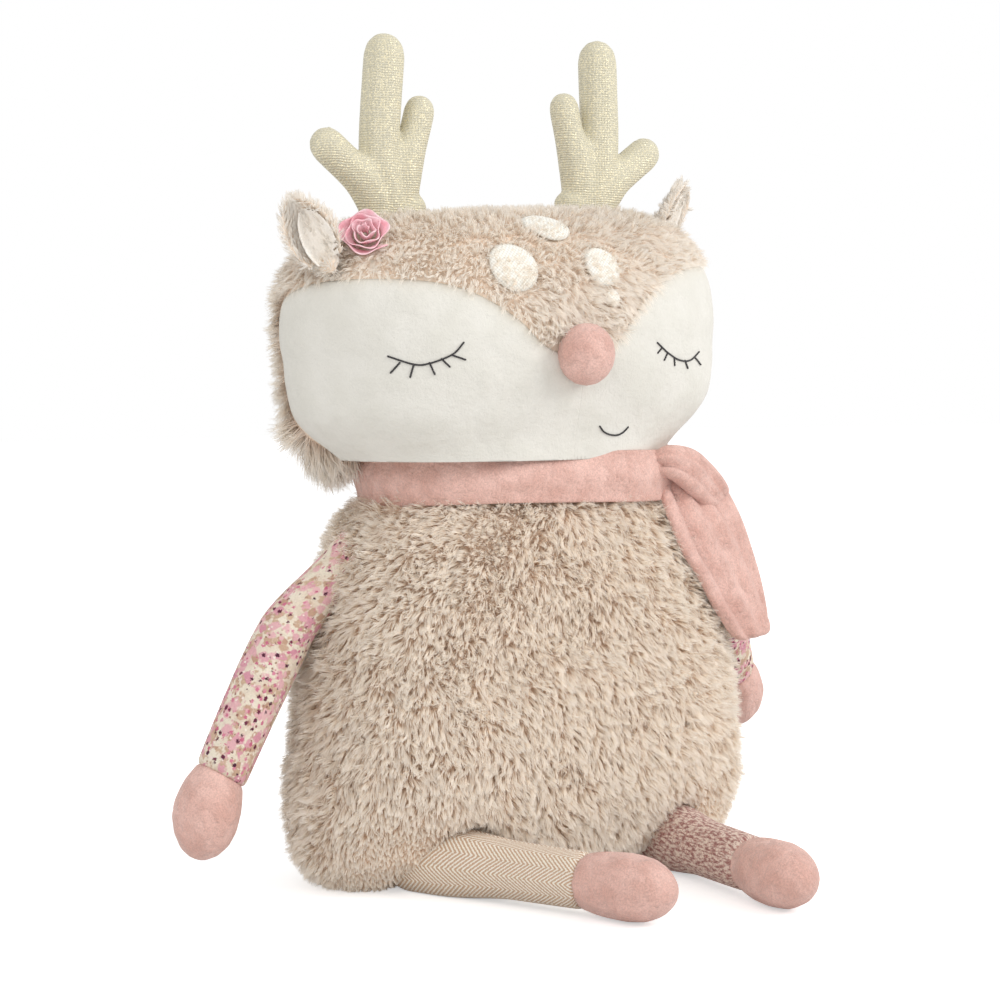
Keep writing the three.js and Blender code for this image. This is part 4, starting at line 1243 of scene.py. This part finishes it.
def dress_scarf(piece, part):
    """Dresses a piece of the scarf, fastens it to the torso and hides its frame part."""
    wear(piece, pink_velour)
    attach(piece, "torso")
    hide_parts(part)
    return piece


band_rings = []
for i in range(band_steps):
    turn = -full_turn * i / band_steps
    middle, outward = round_neck(turn)
    drift = fold_wander * (math.sin(2 * turn) + 0.5 * math.sin(5 * turn + 1))
    ring = []
    for k in range(band_sides):
        angle = full_turn * k / band_sides
        c = math.cos(angle)
        s = math.sin(angle)
        crease = math.cos(fold_waves * math.asin(s) + drift) * fold_depth * max(c, 0)
        sag = band_sag * math.sin(3 * turn + 1)
        reach = squared_off(c, wall_square) * band_half_wall + crease - fold_depth * c / 2
        ring.append(middle + outward * reach + up * (s * band_half_height + sag))
    band_rings.append(ring)
scarf_band = dress_scarf(tube("scarf_round_neck", band_rings, True), "scarf_band")

# %% [markdown]
# The wrap and the tails are stretches of the same strip. Each lies between two edges, read off the
# photograph, and is a flat tube with soft ends and creases along it. A table of folds gives every crease
# its place across the strip, its width, and its depth at either end.

# %% Scarf knot and tails
strap_steps = 60
strap_sides = 40
strap_square = 0.8
end_share = 0.1
round_share = 0.08
corner_share = 0.15
corner_cut_share = 0.45
wrap_low = [
    (52, -42, 199),
    (58, -47, 198),
    (66, -47, 194),
    (74, -45, 189),
    (82, -41, 184),
    (90, -37, 180),
]
wrap_high = [
    (54, -41, 210),
    (61, -44, 213.5),
    (77, -40, 211),
    (90, -35, 204),
    (100, -31, 197),
    (108, -28, 189),
]
front_low = [
    (57, -37, 196),
    (58, -49, 178),
    (65, -50.5, 161),
    (75, -50, 148),
    (84, -48, 135),
    (95, -45, 122),
    (104, -42, 112),
]
front_high = [
    (82, -32, 196),
    (98, -38, 175),
    (107, -39, 159),
    (115, -38, 145),
    (122, -37, 132),
    (128, -36, 122),
    (130, -36, 115),
]
rear_low = [
    (84, -30, 196),
    (91, -30, 182),
    (99, -30, 169),
    (107, -29, 153),
    (116, -28, 137),
    (126, -29, 117),
]
rear_high = [
    (101, -28, 196),
    (109, -26, 188),
    (118, -25, 174),
    (125, -24, 159),
    (131, -24, 142),
    (134, -28, 119),
]
wrap_wall = 11 * mm
tail_wall = 9 * mm
wrap_folds = [(-0.35, 0.14, 4.5 * mm, 1.6 * mm), (0.3, 0.13, 1.4 * mm, 4 * mm)]
front_folds = [(-0.4, 0.2, 6.5 * mm, 3 * mm), (0.35, 0.18, 3.4 * mm, 1.2 * mm)]
rear_folds = [(0.1, 0.3, 1.2 * mm, 0.3 * mm)]


def from_end(share, reach):
    """A quarter circle's rise from 0 at either end of a strip to 1, within the given reach."""
    close = min(share, 1 - share) / reach
    return math.sqrt(1 - (1 - min(close, 1)) ** 2)


def strap(name, low_edge, high_edge, wall, folds):
    """A folded strip of velour between two edges, each a list of points in millimetres."""
    edges = []
    for edge in (low_edge, high_edge):
        edges.append([p * mm for p in smooth_line(edge, strap_steps // (len(edge) - 1))])
    count = len(edges[0])
    rings = []
    for i, (low, high) in enumerate(zip(*edges)):
        share = i / (count - 1)
        before = max(i - 1, 0)
        after = min(i + 1, count - 1)
        way = (edges[0][after] + edges[1][after] - edges[0][before] - edges[1][before]).normalized()
        across = (high - low) / 2
        out = way.cross(across).normalized()
        puff = from_end(share, round_share) * (1 - end_share) + end_share
        narrow = 1 - corner_cut_share * (1 - from_end(share, corner_share))
        ring = []
        for k in range(strap_sides):
            angle = full_turn * k / strap_sides
            c = squared_off(math.cos(angle), strap_square)
            s = squared_off(math.sin(angle), strap_square)
            crease = 0
            for place, width, start, end in folds:
                crease += (start + (end - start) * share) * math.exp(-(((c - place) / width) ** 2))
            lift = s * wall / 2 * puff - (crease * puff if s > 0 else 0)
            ring.append((low + high) / 2 + across * (c * narrow) + out * lift)
        rings.append(ring)
    piece = tube(name, rings, False)
    work = bmesh.new()
    work.from_mesh(piece.data)
    bmesh.ops.recalc_face_normals(work, faces=work.faces)
    work.to_mesh(piece.data)
    work.free()
    return piece


scarf_pieces = [scarf_band]
straps = {
    "scarf_wrap": ("scarf_knot", wrap_low, wrap_high, wrap_wall, wrap_folds),
    "scarf_end_rear": ("scarf_tail_rear", rear_low, rear_high, tail_wall, rear_folds),
    "scarf_end_front": ("scarf_tail_front", front_low, front_high, tail_wall, front_folds),
}
for name, (part, low_edge, high_edge, wall, folds) in straps.items():
    scarf_pieces.append(dress_scarf(strap(name, low_edge, high_edge, wall, folds), part))

# %% [markdown]
# ## Limbs
# An arm or leg is a sleeve of patterned cloth that ends in a stuffed velour hand or foot. The sleeve's
# UV map is laid round it like a rolled sheet, in metres, so the pattern keeps its real scale.

# %% Cloth round a limb
upright_limit = 0.9


def wrap_cloth(piece, start, end, width):
    """Lays a UV map round a limb: metres round it and metres along it."""
    axis = (end - start).normalized()
    level_side = axis.cross(up).normalized()
    over = level_side.cross(axis)
    if abs(axis.z) > upright_limit:
        over = Vector((0, 1, 0))
        level_side = over.cross(axis).normalized()
        over = axis.cross(level_side)
    uv = piece.data.uv_layers.new(name="cloth")
    turns = []
    rises = []
    for vertex in piece.data.vertices:
        offset = vertex.co - start
        turns.append(math.atan2(offset.dot(level_side), offset.dot(over)))
        rises.append(offset.dot(axis))
    for face in piece.data.polygons:
        first = turns[face.vertices[0]]
        for loop in face.loop_indices:
            index = piece.data.loops[loop].vertex_index
            turn = turns[index]
            if turn - first > math.pi:
                turn -= full_turn
            if first - turn > math.pi:
                turn += full_turn
            uv.data[loop].uv = (turn * width, rises[index])


print("a limb reads as upright over", round(math.degrees(math.asin(upright_limit))), "degrees")

# %% [markdown]
# Sewing changes a limb's plain tube in three places. An arm's top is sewn flat into the side seam, its
# hand's seam sits a little further down, and a leg's top is stuffed full where it leaves the body.
# Each is a shift that fades away from its own place.

# %% Limbs
limb_voxel = 1.5 * mm
limb_passes = 8
limb_swell = 0.9 * mm
end_swell = 0.3 * mm
wrap_radius = 13.5 * mm
sleeve_cloths = {
    "arm_right": (floral, "floral_cotton"),
    "arm_left": (floral, "floral_cotton"),
    "leg_right": (herringbone, "herringbone_tweed"),
    "leg_left": (rose_tweed, "rose_tweed"),
}
joint_places = {joint["name"]: Vector(joint["pos_m"]) for joint in frame["joints"]}
tuck_reach = 48 * mm
tuck_depth = 15 * mm
root_near = 20 * mm
root_far = 62 * mm
root_fill = 3.5 * mm
wrist_reach = 46 * mm
wrist_shift = 7 * mm


def tuck(piece, place):
    """Sews the top of an arm flat into the side seam, so that the fur falls over it."""
    inward = Vector((-place.x, -place.y, 0)).normalized()
    for vertex in piece.data.vertices:
        near = 1 - ease((vertex.co - place).length, 0, tuck_reach)
        vertex.co += inward * tuck_depth * near


def fill_root(piece, place, axis):
    """Stuffs the top of a leg fuller, so that it shows in front of the body."""
    for vertex in piece.data.vertices:
        offset = vertex.co - place
        around = (offset - axis * offset.dot(axis)).normalized()
        near = 1 - ease(offset.length, root_near, root_far)
        vertex.co += around * root_fill * near
        vertex.co.z = max(vertex.co.z, 0)


def lower_wrist(piece, wrist, axis):
    """Moves the seam of an arm's hand along the arm, with less and less of it further away."""
    for vertex in piece.data.vertices:
        apart = abs((vertex.co - wrist).dot(axis))
        vertex.co += axis * wrist_shift * (1 - ease(apart, 0, wrist_reach))


sleeves = []
for limb, (finish, slot) in sleeve_cloths.items():
    end_name = f"{limb}_hand" if limb.startswith("arm") else f"{limb}_foot"
    sleeve = soften(f"{limb}_cloth", [f"{limb}_sleeve"], limb_voxel, limb_passes, limb_swell)
    shoulder = joint_places[f"{limb}_swing"]
    low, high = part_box(end_name)
    wrap_cloth(sleeve, shoulder, (low + high) / 2, wrap_radius)
    stuffed(sleeve, limb, finish, [f"{limb}_sleeve"])
    sleeves.append(sleeve)
    end = soften(f"{end_name}_pad", [end_name], limb_voxel, limb_passes, end_swell)
    axis = ((low + high) / 2 - shoulder).normalized()
    if limb.startswith("leg"):
        fill_root(sleeve, shoulder, axis)
    if limb.startswith("arm"):
        wrist = shoulder + axis * min((v.co - shoulder).dot(axis) for v in end.data.vertices)
        for piece in (sleeve, end):
            lower_wrist(piece, wrist, axis)
        tuck(sleeve, shoulder)
    stuffed(end, limb, pink_velour, [end_name])
    print(sleeve.name, len(sleeve.data.polygons), "faces;", end.name, len(end.data.polygons), "faces")

# %% [markdown]
# ## Antlers
# The antlers are flat stuffed shapes of gold knit with three fingers. The frame has their outline, so
# they only need the even skin and a little swelling.

# %% Antlers
antler_voxel = 1.3 * mm
antler_swell = 0.5 * mm
antlers = []
for side in ("right", "left"):
    antler = soften(f"antler_{side}_knit", [f"antler_{side}"], antler_voxel, limb_passes, antler_swell)
    stuffed(antler, f"antler_{side}", gold_knit, [f"antler_{side}"])
    antlers.append(antler)
    print(antler.name, len(antler.data.polygons), "faces")

# %% [markdown]
# ## Ears
# An ear has a furry back and a lining of cream velour. Its fur needs room, so the cloth under it is
# made narrower and lower than the frame's ear, about its root. Both ears lean outwards, the left one
# more. The lining is narrower still, so that fur frames it.

# %% Ears
ear_voxel = 1 * mm
ear_passes = 6
lining_swell = 0.3 * mm
ear_shares = Vector((0.78, 0.9, 0.78))
lining_shares = Vector((0.6, 0.9, 0.74))
ear_leans = {"right": Vector((-0.05, 0, 0)), "left": Vector((0.12, 0, 0))}
ear_nudges = {"right": Vector((-5, 0, 0)) * mm, "left": Vector((0, 0, 1)) * mm}
ear_backs = []
ear_linings = []
for side in ("right", "left"):
    back = soften(f"ear_{side}_back", [f"ear_back_{side}"], ear_voxel, ear_passes)
    stuffed(back, f"ear_{side}", backing, [f"ear_back_{side}"])
    lining = soften(f"ear_{side}_lining", [f"ear_lining_{side}"], ear_voxel, ear_passes, lining_swell)
    stuffed(lining, f"ear_{side}", cream_velour, [f"ear_lining_{side}"])
    root = joint_places[f"ear_{side}_flop"]
    for piece, shares in ((back, ear_shares), (lining, lining_shares)):
        for vertex in piece.data.vertices:
            moved = root + (vertex.co - root) * shares + ear_leans[side] * (vertex.co.z - root.z)
            vertex.co = moved + ear_nudges[side]
    ear_backs.append(back)
    ear_linings.append(lining)
    print(back.name, len(back.data.polygons), "faces")

# %% [markdown]
# ## Rose and label
# The rose is one ribbon, gathered along an edge and wound on itself nearly four times, with a ruffled
# free edge that opens outwards. So it is a spiral of rows: the rows nearest the head stay close and
# the free row waves. The waves don't fit a whole number of times into a turn, because a real rose has
# no star in it. The label at the side seam is a folded tape and stays blank.

# %% Rose and label
rose_turns = 3.9
rose_steps = 300
rose_rows = 7
rose_inner = 1.3 * mm
rose_outer = 12.4 * mm
rose_height = 7 * mm
rose_slump_share = 0.45
rose_facing = Vector((-0.7, -1.3, 0.2))
rose_nudge = Vector((-2.5, -1, 3)) * mm
coil_power = 0.9
gathered_share = 0.7
calm_share = 0.3
ruffles_a_turn = 4.37
ruffle_drift = 2.3
ruffle_depth = 1.2 * mm
ruffle_share = 0.16
ribbon_wall = 0.5 * mm
label_voxel = 0.5 * mm


def ribbon_rose(name, part):
    """A ribbon gathered along one edge and wound on itself, with a ruffled free edge."""
    low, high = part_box(part)
    spot, out = head_rays.find_nearest((low + high) / 2)[:2]
    out = (out + rose_facing).normalized()
    spot += rose_nudge
    across = up.cross(out).normalized()
    over = out.cross(across)
    points = []
    for i in range(rose_steps + 1):
        share = i / rose_steps
        angle = full_turn * rose_turns * share
        radius = rose_inner + (rose_outer - rose_inner) * share**coil_power
        for row in range(rose_rows + 1):
            rise = row / rose_rows
            wave = math.sin(ruffles_a_turn * angle) + math.sin(ruffle_drift * angle + 1) / 2
            opened = gathered_share + (1 - gathered_share) * rise
            waved = wave * ruffle_depth * rise * (calm_share + (1 - calm_share) * share)
            bob = 1 + ruffle_share * math.cos(ruffles_a_turn * angle)
            height = rose_height * rise * (1 - rose_slump_share * share) * bob
            beside = across * math.cos(angle) + over * math.sin(angle)
            points.append(spot + beside * (radius * opened + waved) + out * height)
    wide = rose_rows + 1
    faces = [
        (i * wide + r, i * wide + r + 1, (i + 1) * wide + r + 1, (i + 1) * wide + r)
        for i in range(rose_steps)
        for r in range(rose_rows)
    ]
    piece = from_points(name, points, faces)
    thicken(piece, ribbon_wall)
    return piece


rose = ribbon_rose("ribbon_rose", "rose")
wear(rose, satin)
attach(rose, "head")
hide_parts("rose")
label = soften("blank_label", ["seam_label"], label_voxel, 1)
wear(label, label_cloth)
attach(label, "torso")
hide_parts("seam_label")
print("rose", len(rose.data.polygons), "faces; label", len(label.data.polygons), "faces")

# %% [markdown]
# ## Growing the fur
# Fur is thousands of wisps, too many to place by hand and alike enough for a rule. The tree scatters
# roots on a skin and drops those that another cloth covers. Each wisp leans the way the skin is
# combed, swirls a little, and is drawn towards its nearest guide, which makes the clumps that show in
# the photograph. A wisp is a narrow blade of two faces that lies flat on the coat, so hundreds of
# thousands of them stay light.

# %% A tree that grows fur
tangle_seed = 9
length_seed = 7
guide_seed = 11
clump_seed = 3
tone_seed = 5
shortest_share = 0.78
longest_share = 1.15
curls_a_swirl = 3
taper_share = 0.85
taper_power = 2
fur_numbers = ["Wisps", "Guides", "Length", "Width", "Rise", "Clump", "Swirl", "Swirl Size"]
fur_numbers += ["Curl", "Tangle", "Bow", "Margin", "Floor", "Pale"]


def fur_tree():
    """Grows wisps on a combed skin."""
    tree = bpy.data.node_groups.new("fur wisps", "GeometryNodeTree")
    tree.interface.new_socket("Skin", in_out="INPUT", socket_type="NodeSocketGeometry")
    for name in fur_numbers:
        tree.interface.new_socket(name, in_out="INPUT", socket_type="NodeSocketFloat")
    tree.interface.new_socket("Seed", in_out="INPUT", socket_type="NodeSocketInt")
    tree.interface.new_socket("Covered", in_out="INPUT", socket_type="NodeSocketObject")
    tree.interface.new_socket("Fur", in_out="INPUT", socket_type="NodeSocketMaterial")
    tree.interface.new_socket("Wisps", in_out="OUTPUT", socket_type="NodeSocketGeometry")
    given = tree.nodes.new("NodeGroupInput").outputs
    spot = tree.nodes.new("GeometryNodeInputPosition").outputs[0]

    def read(name, kind="FLOAT"):
        """What an earlier step wrote on the points."""
        return put(tree, "GeometryNodeInputNamedAttribute", {"Name": name}, data_type=kind).outputs[0]

    def write(geometry, name, value, kind="FLOAT"):
        """Writes a value on the points."""
        stored = put(tree, "GeometryNodeStoreNamedAttribute", {0: geometry, "Name": name}, data_type=kind)
        tree.links.new(value, stored.inputs["Value"])
        return stored.outputs[0]

    def wander(scale, strength):
        """A smooth random direction at each root."""
        noise = put(tree, "ShaderNodeTexNoise", {"Vector": spot, "Scale": scale, "Detail": 1.0})
        return stretch(tree, steer(tree, "SUBTRACT", noise.outputs["Color"], (0.5, 0.5, 0.5)), strength)

    def roots(density, seed):
        """Scatters roots where the skin isn't covered."""
        spread = put(tree, "GeometryNodeDistributePointsOnFaces", {"Mesh": given["Skin"]})
        tree.links.new(calc(tree, "MULTIPLY", density, read("cover")), spread.inputs["Density"])
        tree.links.new(seed, spread.inputs["Seed"])
        return write(spread.outputs[0], "upward", spread.outputs["Normal"], "FLOAT_VECTOR")

    swirl = wander(calc(tree, "DIVIDE", 1, given["Swirl Size"]), given["Swirl"])
    curl = wander(calc(tree, "DIVIDE", curls_a_swirl, given["Swirl Size"]), given["Curl"])
    standing = stretch(tree, read("upward", "FLOAT_VECTOR"), given["Rise"])
    lain = steer(tree, "ADD", standing, read("combed", "FLOAT_VECTOR"))
    any_way = {0: (-1, -1, -1), 1: (1, 1, 1), "Seed": tangle_seed}
    loose = put(tree, "FunctionNodeRandomValue", any_way, data_type="FLOAT_VECTOR")
    tangled = stretch(tree, loose.outputs[0], given["Tangle"])
    way = steer(tree, "ADD", steer(tree, "ADD", lain, tangled), steer(tree, "ADD", swirl, curl))
    lengths = {2: shortest_share, 3: longest_share, "Seed": length_seed}
    chance = put(tree, "FunctionNodeRandomValue", lengths).outputs[1]
    reach = calc(tree, "MULTIPLY", calc(tree, "MULTIPLY", given["Length"], read("pile")), chance)
    tip = steer(tree, "ADD", spot, stretch(tree, steer(tree, "NORMALIZE", way), reach))

    guide_roots = roots(given["Guides"], put(tree, "FunctionNodeInputInt", integer=guide_seed).outputs[0])
    guides = write(guide_roots, "tip", tip, "FLOAT_VECTOR")
    wisps = roots(given["Wisps"], given["Seed"])
    covered = put(tree, "GeometryNodeObjectInfo", {"Object": given["Covered"]}, transform_space="RELATIVE")
    nearest = put(tree, "GeometryNodeProximity", {0: covered.outputs["Geometry"], "Sample Position": spot})
    hidden = put(tree, "FunctionNodeCompare", {0: nearest.outputs["Distance"]}, operation="LESS_THAN")
    tree.links.new(given["Margin"], hidden.inputs[1])
    wisps = put(tree, "GeometryNodeDeleteGeometry", {0: wisps, 1: hidden.outputs[0]}).outputs[0]
    guide = put(tree, "GeometryNodeSampleNearest", {0: guides}, domain="POINT").outputs[0]
    drawn = put(tree, "GeometryNodeSampleIndex", {0: guides, "Index": guide}, data_type="FLOAT_VECTOR")
    tree.links.new(read("tip", "FLOAT_VECTOR"), drawn.inputs["Value"])
    together = put(tree, "ShaderNodeMix", {4: tip, 5: drawn.outputs[0]}, data_type="VECTOR")
    tree.links.new(given["Clump"], together.inputs[0])
    aim = steer(tree, "SUBTRACT", together.outputs[1], spot)
    clump_tone = put(tree, "FunctionNodeRandomValue", {"ID": guide, "Seed": clump_seed}).outputs[1]
    own_tone = put(tree, "FunctionNodeRandomValue", {"Seed": tone_seed}).outputs[1]
    wisps = write(wisps, "tone", calc(tree, "MULTIPLY", calc(tree, "ADD", clump_tone, own_tone), 0.5))
    span = put(tree, "ShaderNodeVectorMath", {0: aim}, operation="LENGTH").outputs["Value"]
    wisps = write(wisps, "span", span)
    wisps = write(wisps, "pale", given["Pale"])
    wisps = write(wisps, "aim", aim, "FLOAT_VECTOR")

    two_faces = {"Size X": 1, "Size Y": 1, "Vertices X": 2, "Vertices Y": 3}
    grid = put(tree, "GeometryNodeMeshGrid", two_faces)
    flat = put(tree, "ShaderNodeSeparateXYZ", {0: spot}).outputs
    strand = write(grid.outputs[0], "along", calc(tree, "ADD", flat[1], 0.5))
    taper = calc(tree, "MULTIPLY", calc(tree, "POWER", read("along"), taper_power), taper_share)
    across = calc(tree, "MULTIPLY", flat[0], calc(tree, "SUBTRACT", 1, taper))
    blade = put(tree, "ShaderNodeCombineXYZ", {0: across, 2: read("along")})
    strand = put(tree, "GeometryNodeSetPosition", {0: strand, "Position": blade.outputs[0]}).outputs[0]
    aimed = {"Vector": read("aim", "FLOAT_VECTOR")}
    length_way = put(tree, "FunctionNodeAlignRotationToVector", aimed, axis="Z").outputs[0]
    facing = {"Rotation": length_way, "Vector": read("upward", "FLOAT_VECTOR")}
    turned = put(tree, "FunctionNodeAlignRotationToVector", facing, axis="Y", pivot_axis="Z")
    size = put(tree, "ShaderNodeCombineXYZ", {0: given["Width"], 1: given["Width"], 2: read("span")})
    planted = put(tree, "GeometryNodeInstanceOnPoints", {"Points": wisps, "Instance": strand})
    tree.links.new(turned.outputs[0], planted.inputs["Rotation"])
    tree.links.new(size.outputs[0], planted.inputs["Scale"])
    coat = put(tree, "GeometryNodeRealizeInstances", {0: planted.outputs[0]}).outputs[0]

    half_way = calc(tree, "MULTIPLY", read("along"), calc(tree, "SUBTRACT", 1, read("along")))
    arch = calc(tree, "MULTIPLY", half_way, calc(tree, "MULTIPLY", given["Bow"], read("span")))
    bow = stretch(tree, read("upward", "FLOAT_VECTOR"), arch)
    coat = put(tree, "GeometryNodeSetPosition", {0: coat, "Offset": bow}).outputs[0]
    parts = put(tree, "ShaderNodeSeparateXYZ", {0: spot}).outputs
    over_floor = calc(tree, "MAXIMUM", parts[2], given["Floor"])
    above = put(tree, "ShaderNodeCombineXYZ", {0: parts[0], 1: parts[1], 2: over_floor}).outputs[0]
    coat = put(tree, "GeometryNodeSetPosition", {0: coat, "Position": above}).outputs[0]
    for name in ("upward", "combed", "cover", "pile", "span", "aim"):
        coat = put(tree, "GeometryNodeRemoveAttribute", {0: coat, "Name": name}).outputs[0]
    smooth = put(tree, "GeometryNodeSetShadeSmooth", {0: coat}).outputs[0]
    dressed = put(tree, "GeometryNodeSetMaterial", {0: smooth})
    tree.links.new(given["Fur"], dressed.inputs["Material"])
    put(tree, "NodeGroupOutput", {0: dressed.outputs[0]})
    return tree


growing = fur_tree()
print("fur tree:", len(growing.nodes), "nodes")

# %% [markdown]
# ## Combing
# Before it grows, each skin is combed: every point gets the way its fur lies, how long it is and how
# much of it there is. A painted map could say it, but a few rules read off the photograph are shorter
# and stay right when the skin's mesh changes. On the body the fur falls down and, at the deer's upper
# right, sideways. On the head it falls outwards from the middle of the forehead, and it is longest at
# the nape.


# %% Combing
def comb(skin, way, pile_at, cover_at):
    """Writes the combed direction, the pile's length and its cover on every point of a skin."""
    combed = []
    piles = []
    covers = []
    for vertex in skin.data.vertices:
        flow = way(vertex.co)
        flow = flow - vertex.normal * flow.dot(vertex.normal)
        combed += list(flow)
        piles.append(pile_at(vertex.co))
        covers.append(cover_at(vertex.co, vertex.normal))
    attributes = skin.data.attributes
    attributes.new("combed", "FLOAT_VECTOR", "POINT").data.foreach_set("vector", combed)
    attributes.new("pile", "FLOAT", "POINT").data.foreach_set("value", piles)
    attributes.new("cover", "FLOAT", "POINT").data.foreach_set("value", covers)


aside_low = 90 * mm
aside_high = 170 * mm
aside_right = -60 * mm
aside_left = 30 * mm
collar_low = 172 * mm
collar_high = 190 * mm
neck_line = 188 * mm
seat_cover_share = 0.15
seat_normal = -0.85
aside_way = Vector((-0.85, 0, 0.5))
fall_way = Vector((0, 0, -0.95))
collar_push = 0.4
body_half_width = 118 * mm
body_half_depth = 58 * mm
leg_pile_share = 0.35
leg_near = 28 * mm
leg_far = 56 * mm


def body_way(spot):
    """Down, sideways at the deer's upper right, and outwards from under the scarf."""
    aside = ease(spot.z, aside_low, aside_high) * (1 - ease(spot.x, aside_right, aside_left))
    flow = fall_way + aside_way * aside
    outward = Vector((spot.x / body_half_width, spot.y / body_half_depth, 0)) * collar_push
    return flow + outward * ease(spot.z, collar_low, collar_high)


def body_pile(spot):
    """Shorter where a leg comes out."""
    apart = min((spot - joint_places[f"leg_{side}_swing"]).length for side in ("right", "left"))
    return leg_pile_share + (1 - leg_pile_share) * ease(apart, leg_near, leg_far)


def body_cover(spot, normal):
    """None in the neck's hole and little under the seat."""
    if spot.z > neck_line and normal.z > 0.5:
        return 0.0
    return seat_cover_share if normal.z < seat_normal else 1.0


crown_low = 95 * mm
crown_high = 118 * mm
brow_pile_share = 0.85
crown_pile_share = 0.7
back_pile_share = 0.95
nape_pile_share = 1.1
neck_height = -20 * mm
cheek_turn = math.radians(62)
underside_normal = -0.96
cheek_height = 24 * mm
cheek_way = Vector((-0.6, 0, -1.2))
front_way = Vector((0.9, -0.25, -0.55))
back_way = Vector((0.9, 0.35, -0.55))
ear_way = Vector((0, 0, 0.8))
ear_pile_share = 0.5


def head_way(spot):
    """Outwards from the middle of the forehead, and down."""
    inner = to_head @ spot
    share = (inner.x - head_shift) / head_half_width
    upper_way = back_way if inner.y > 0 else front_way
    way = cheek_way if inner.z < jowl_middle else upper_way
    return Vector((way.x * share, way.y, way.z))


def head_pile(spot):
    """Short on the crown and long at the nape."""
    turn, height, _ = head_spot(spot)
    low_pile = brow_pile_share + (back_pile_share - brow_pile_share) * ease(turn, *front_turns)
    low_pile += nape_pile_share * ease(turn, *front_turns) * (1 - ease(height, jowl_low, jowl_high))
    return low_pile + (crown_pile_share - low_pile) * ease(height, crown_low, crown_high)


def head_cover(spot, normal):
    """None under the face's lobes and where the head sits on the scarf."""
    turn, height, _ = head_spot(spot)
    lowest = cheek_height if turn < cheek_turn else neck_height
    hidden = normal.z < underside_normal or under_lobe(math.degrees(turn), height / mm)
    return 0.0 if height < lowest or hidden else 1.0


comb(torso_skin, body_way, body_pile, body_cover)
comb(head_skin, head_way, head_pile, head_cover)
for back in ear_backs:
    comb(back, lambda spot: ear_way, lambda spot: ear_pile_share, lambda spot, normal: 1.0)
print("combed", torso_skin.name, head_skin.name, [b.name for b in ear_backs])

# %% [markdown]
# ## Fur coats
# One mesh with all the wisps would be too large to handle, so each skin grows several thin coats over
# one another, each with its own seed and the same guides. What lies on the skins goes into one
# throwaway object, and no wisp grows within a margin of it.


# %% Fur coats
def covering(pieces):
    """One throwaway object with everything that lies on a skin."""
    work = bmesh.new()
    for piece in pieces:
        work.from_mesh(piece.data)
    return from_work("covering", work)


fur_length = 9.5 * mm
fur_width = 0.5 * mm
fur_margin = 1 * mm
head_margin = 1.7 * mm
trim_margin = 0.5 * mm
fur_floor = 0.3 * mm
fur_density = 2.1 / mm**2
guide_density = 0.36 / mm**2
swirl_size = 26 * mm
wisp_triangles = 4
most_triangles = 190000
first_seed = 20
covers = covering(face_lobes + linen_spots + scarf_pieces + ear_linings + sleeves[2:] + [nose, rose, label])
any_fur = {
    "Guides": guide_density,
    "Length": fur_length,
    "Width": fur_width,
    "Clump": 0.72,
    "Swirl": 1.5,
    "Swirl Size": swirl_size,
    "Bow": 0.55,
    "Floor": fur_floor,
    "Covered": covers,
    "Fur": fur,
}
torso_fur = {"Margin": fur_margin, "Rise": 1.35, "Curl": 2.2, "Tangle": 0.8, "Pale": 0.15}
head_fur = {"Margin": head_margin, "Rise": 0.75, "Curl": 1.5, "Tangle": 0.6, "Pale": 0.6}
ear_fur = {"Margin": trim_margin, "Rise": 0.5, "Curl": 0.9, "Tangle": 0.3, "Pale": 0.95}
fur_coats = {
    "torso": (torso_skin, torso_fur),
    "head": (head_skin, head_fur),
    "ear_right": (ear_backs[0], ear_fur),
    "ear_left": (ear_backs[1], ear_fur),
}
wisp_count = 0
for body, (skin, own_fur) in fur_coats.items():
    coats = math.ceil(area_of(skin) * fur_density * wisp_triangles / most_triangles)
    for coat in range(coats):
        settings = {**any_fur, **own_fur, "Wisps": fur_density / coats, "Seed": first_seed + coat}
        grown_fur = grown(f"{body}_fur_{coat + 1}", skin.data.copy(), growing, settings)
        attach(grown_fur, body)
        wisp_count += len(grown_fur.data.polygons) // 2
        print(grown_fur.name, len(grown_fur.data.polygons), "faces")
bpy.data.objects.remove(covers)
print("wisps:", wisp_count)
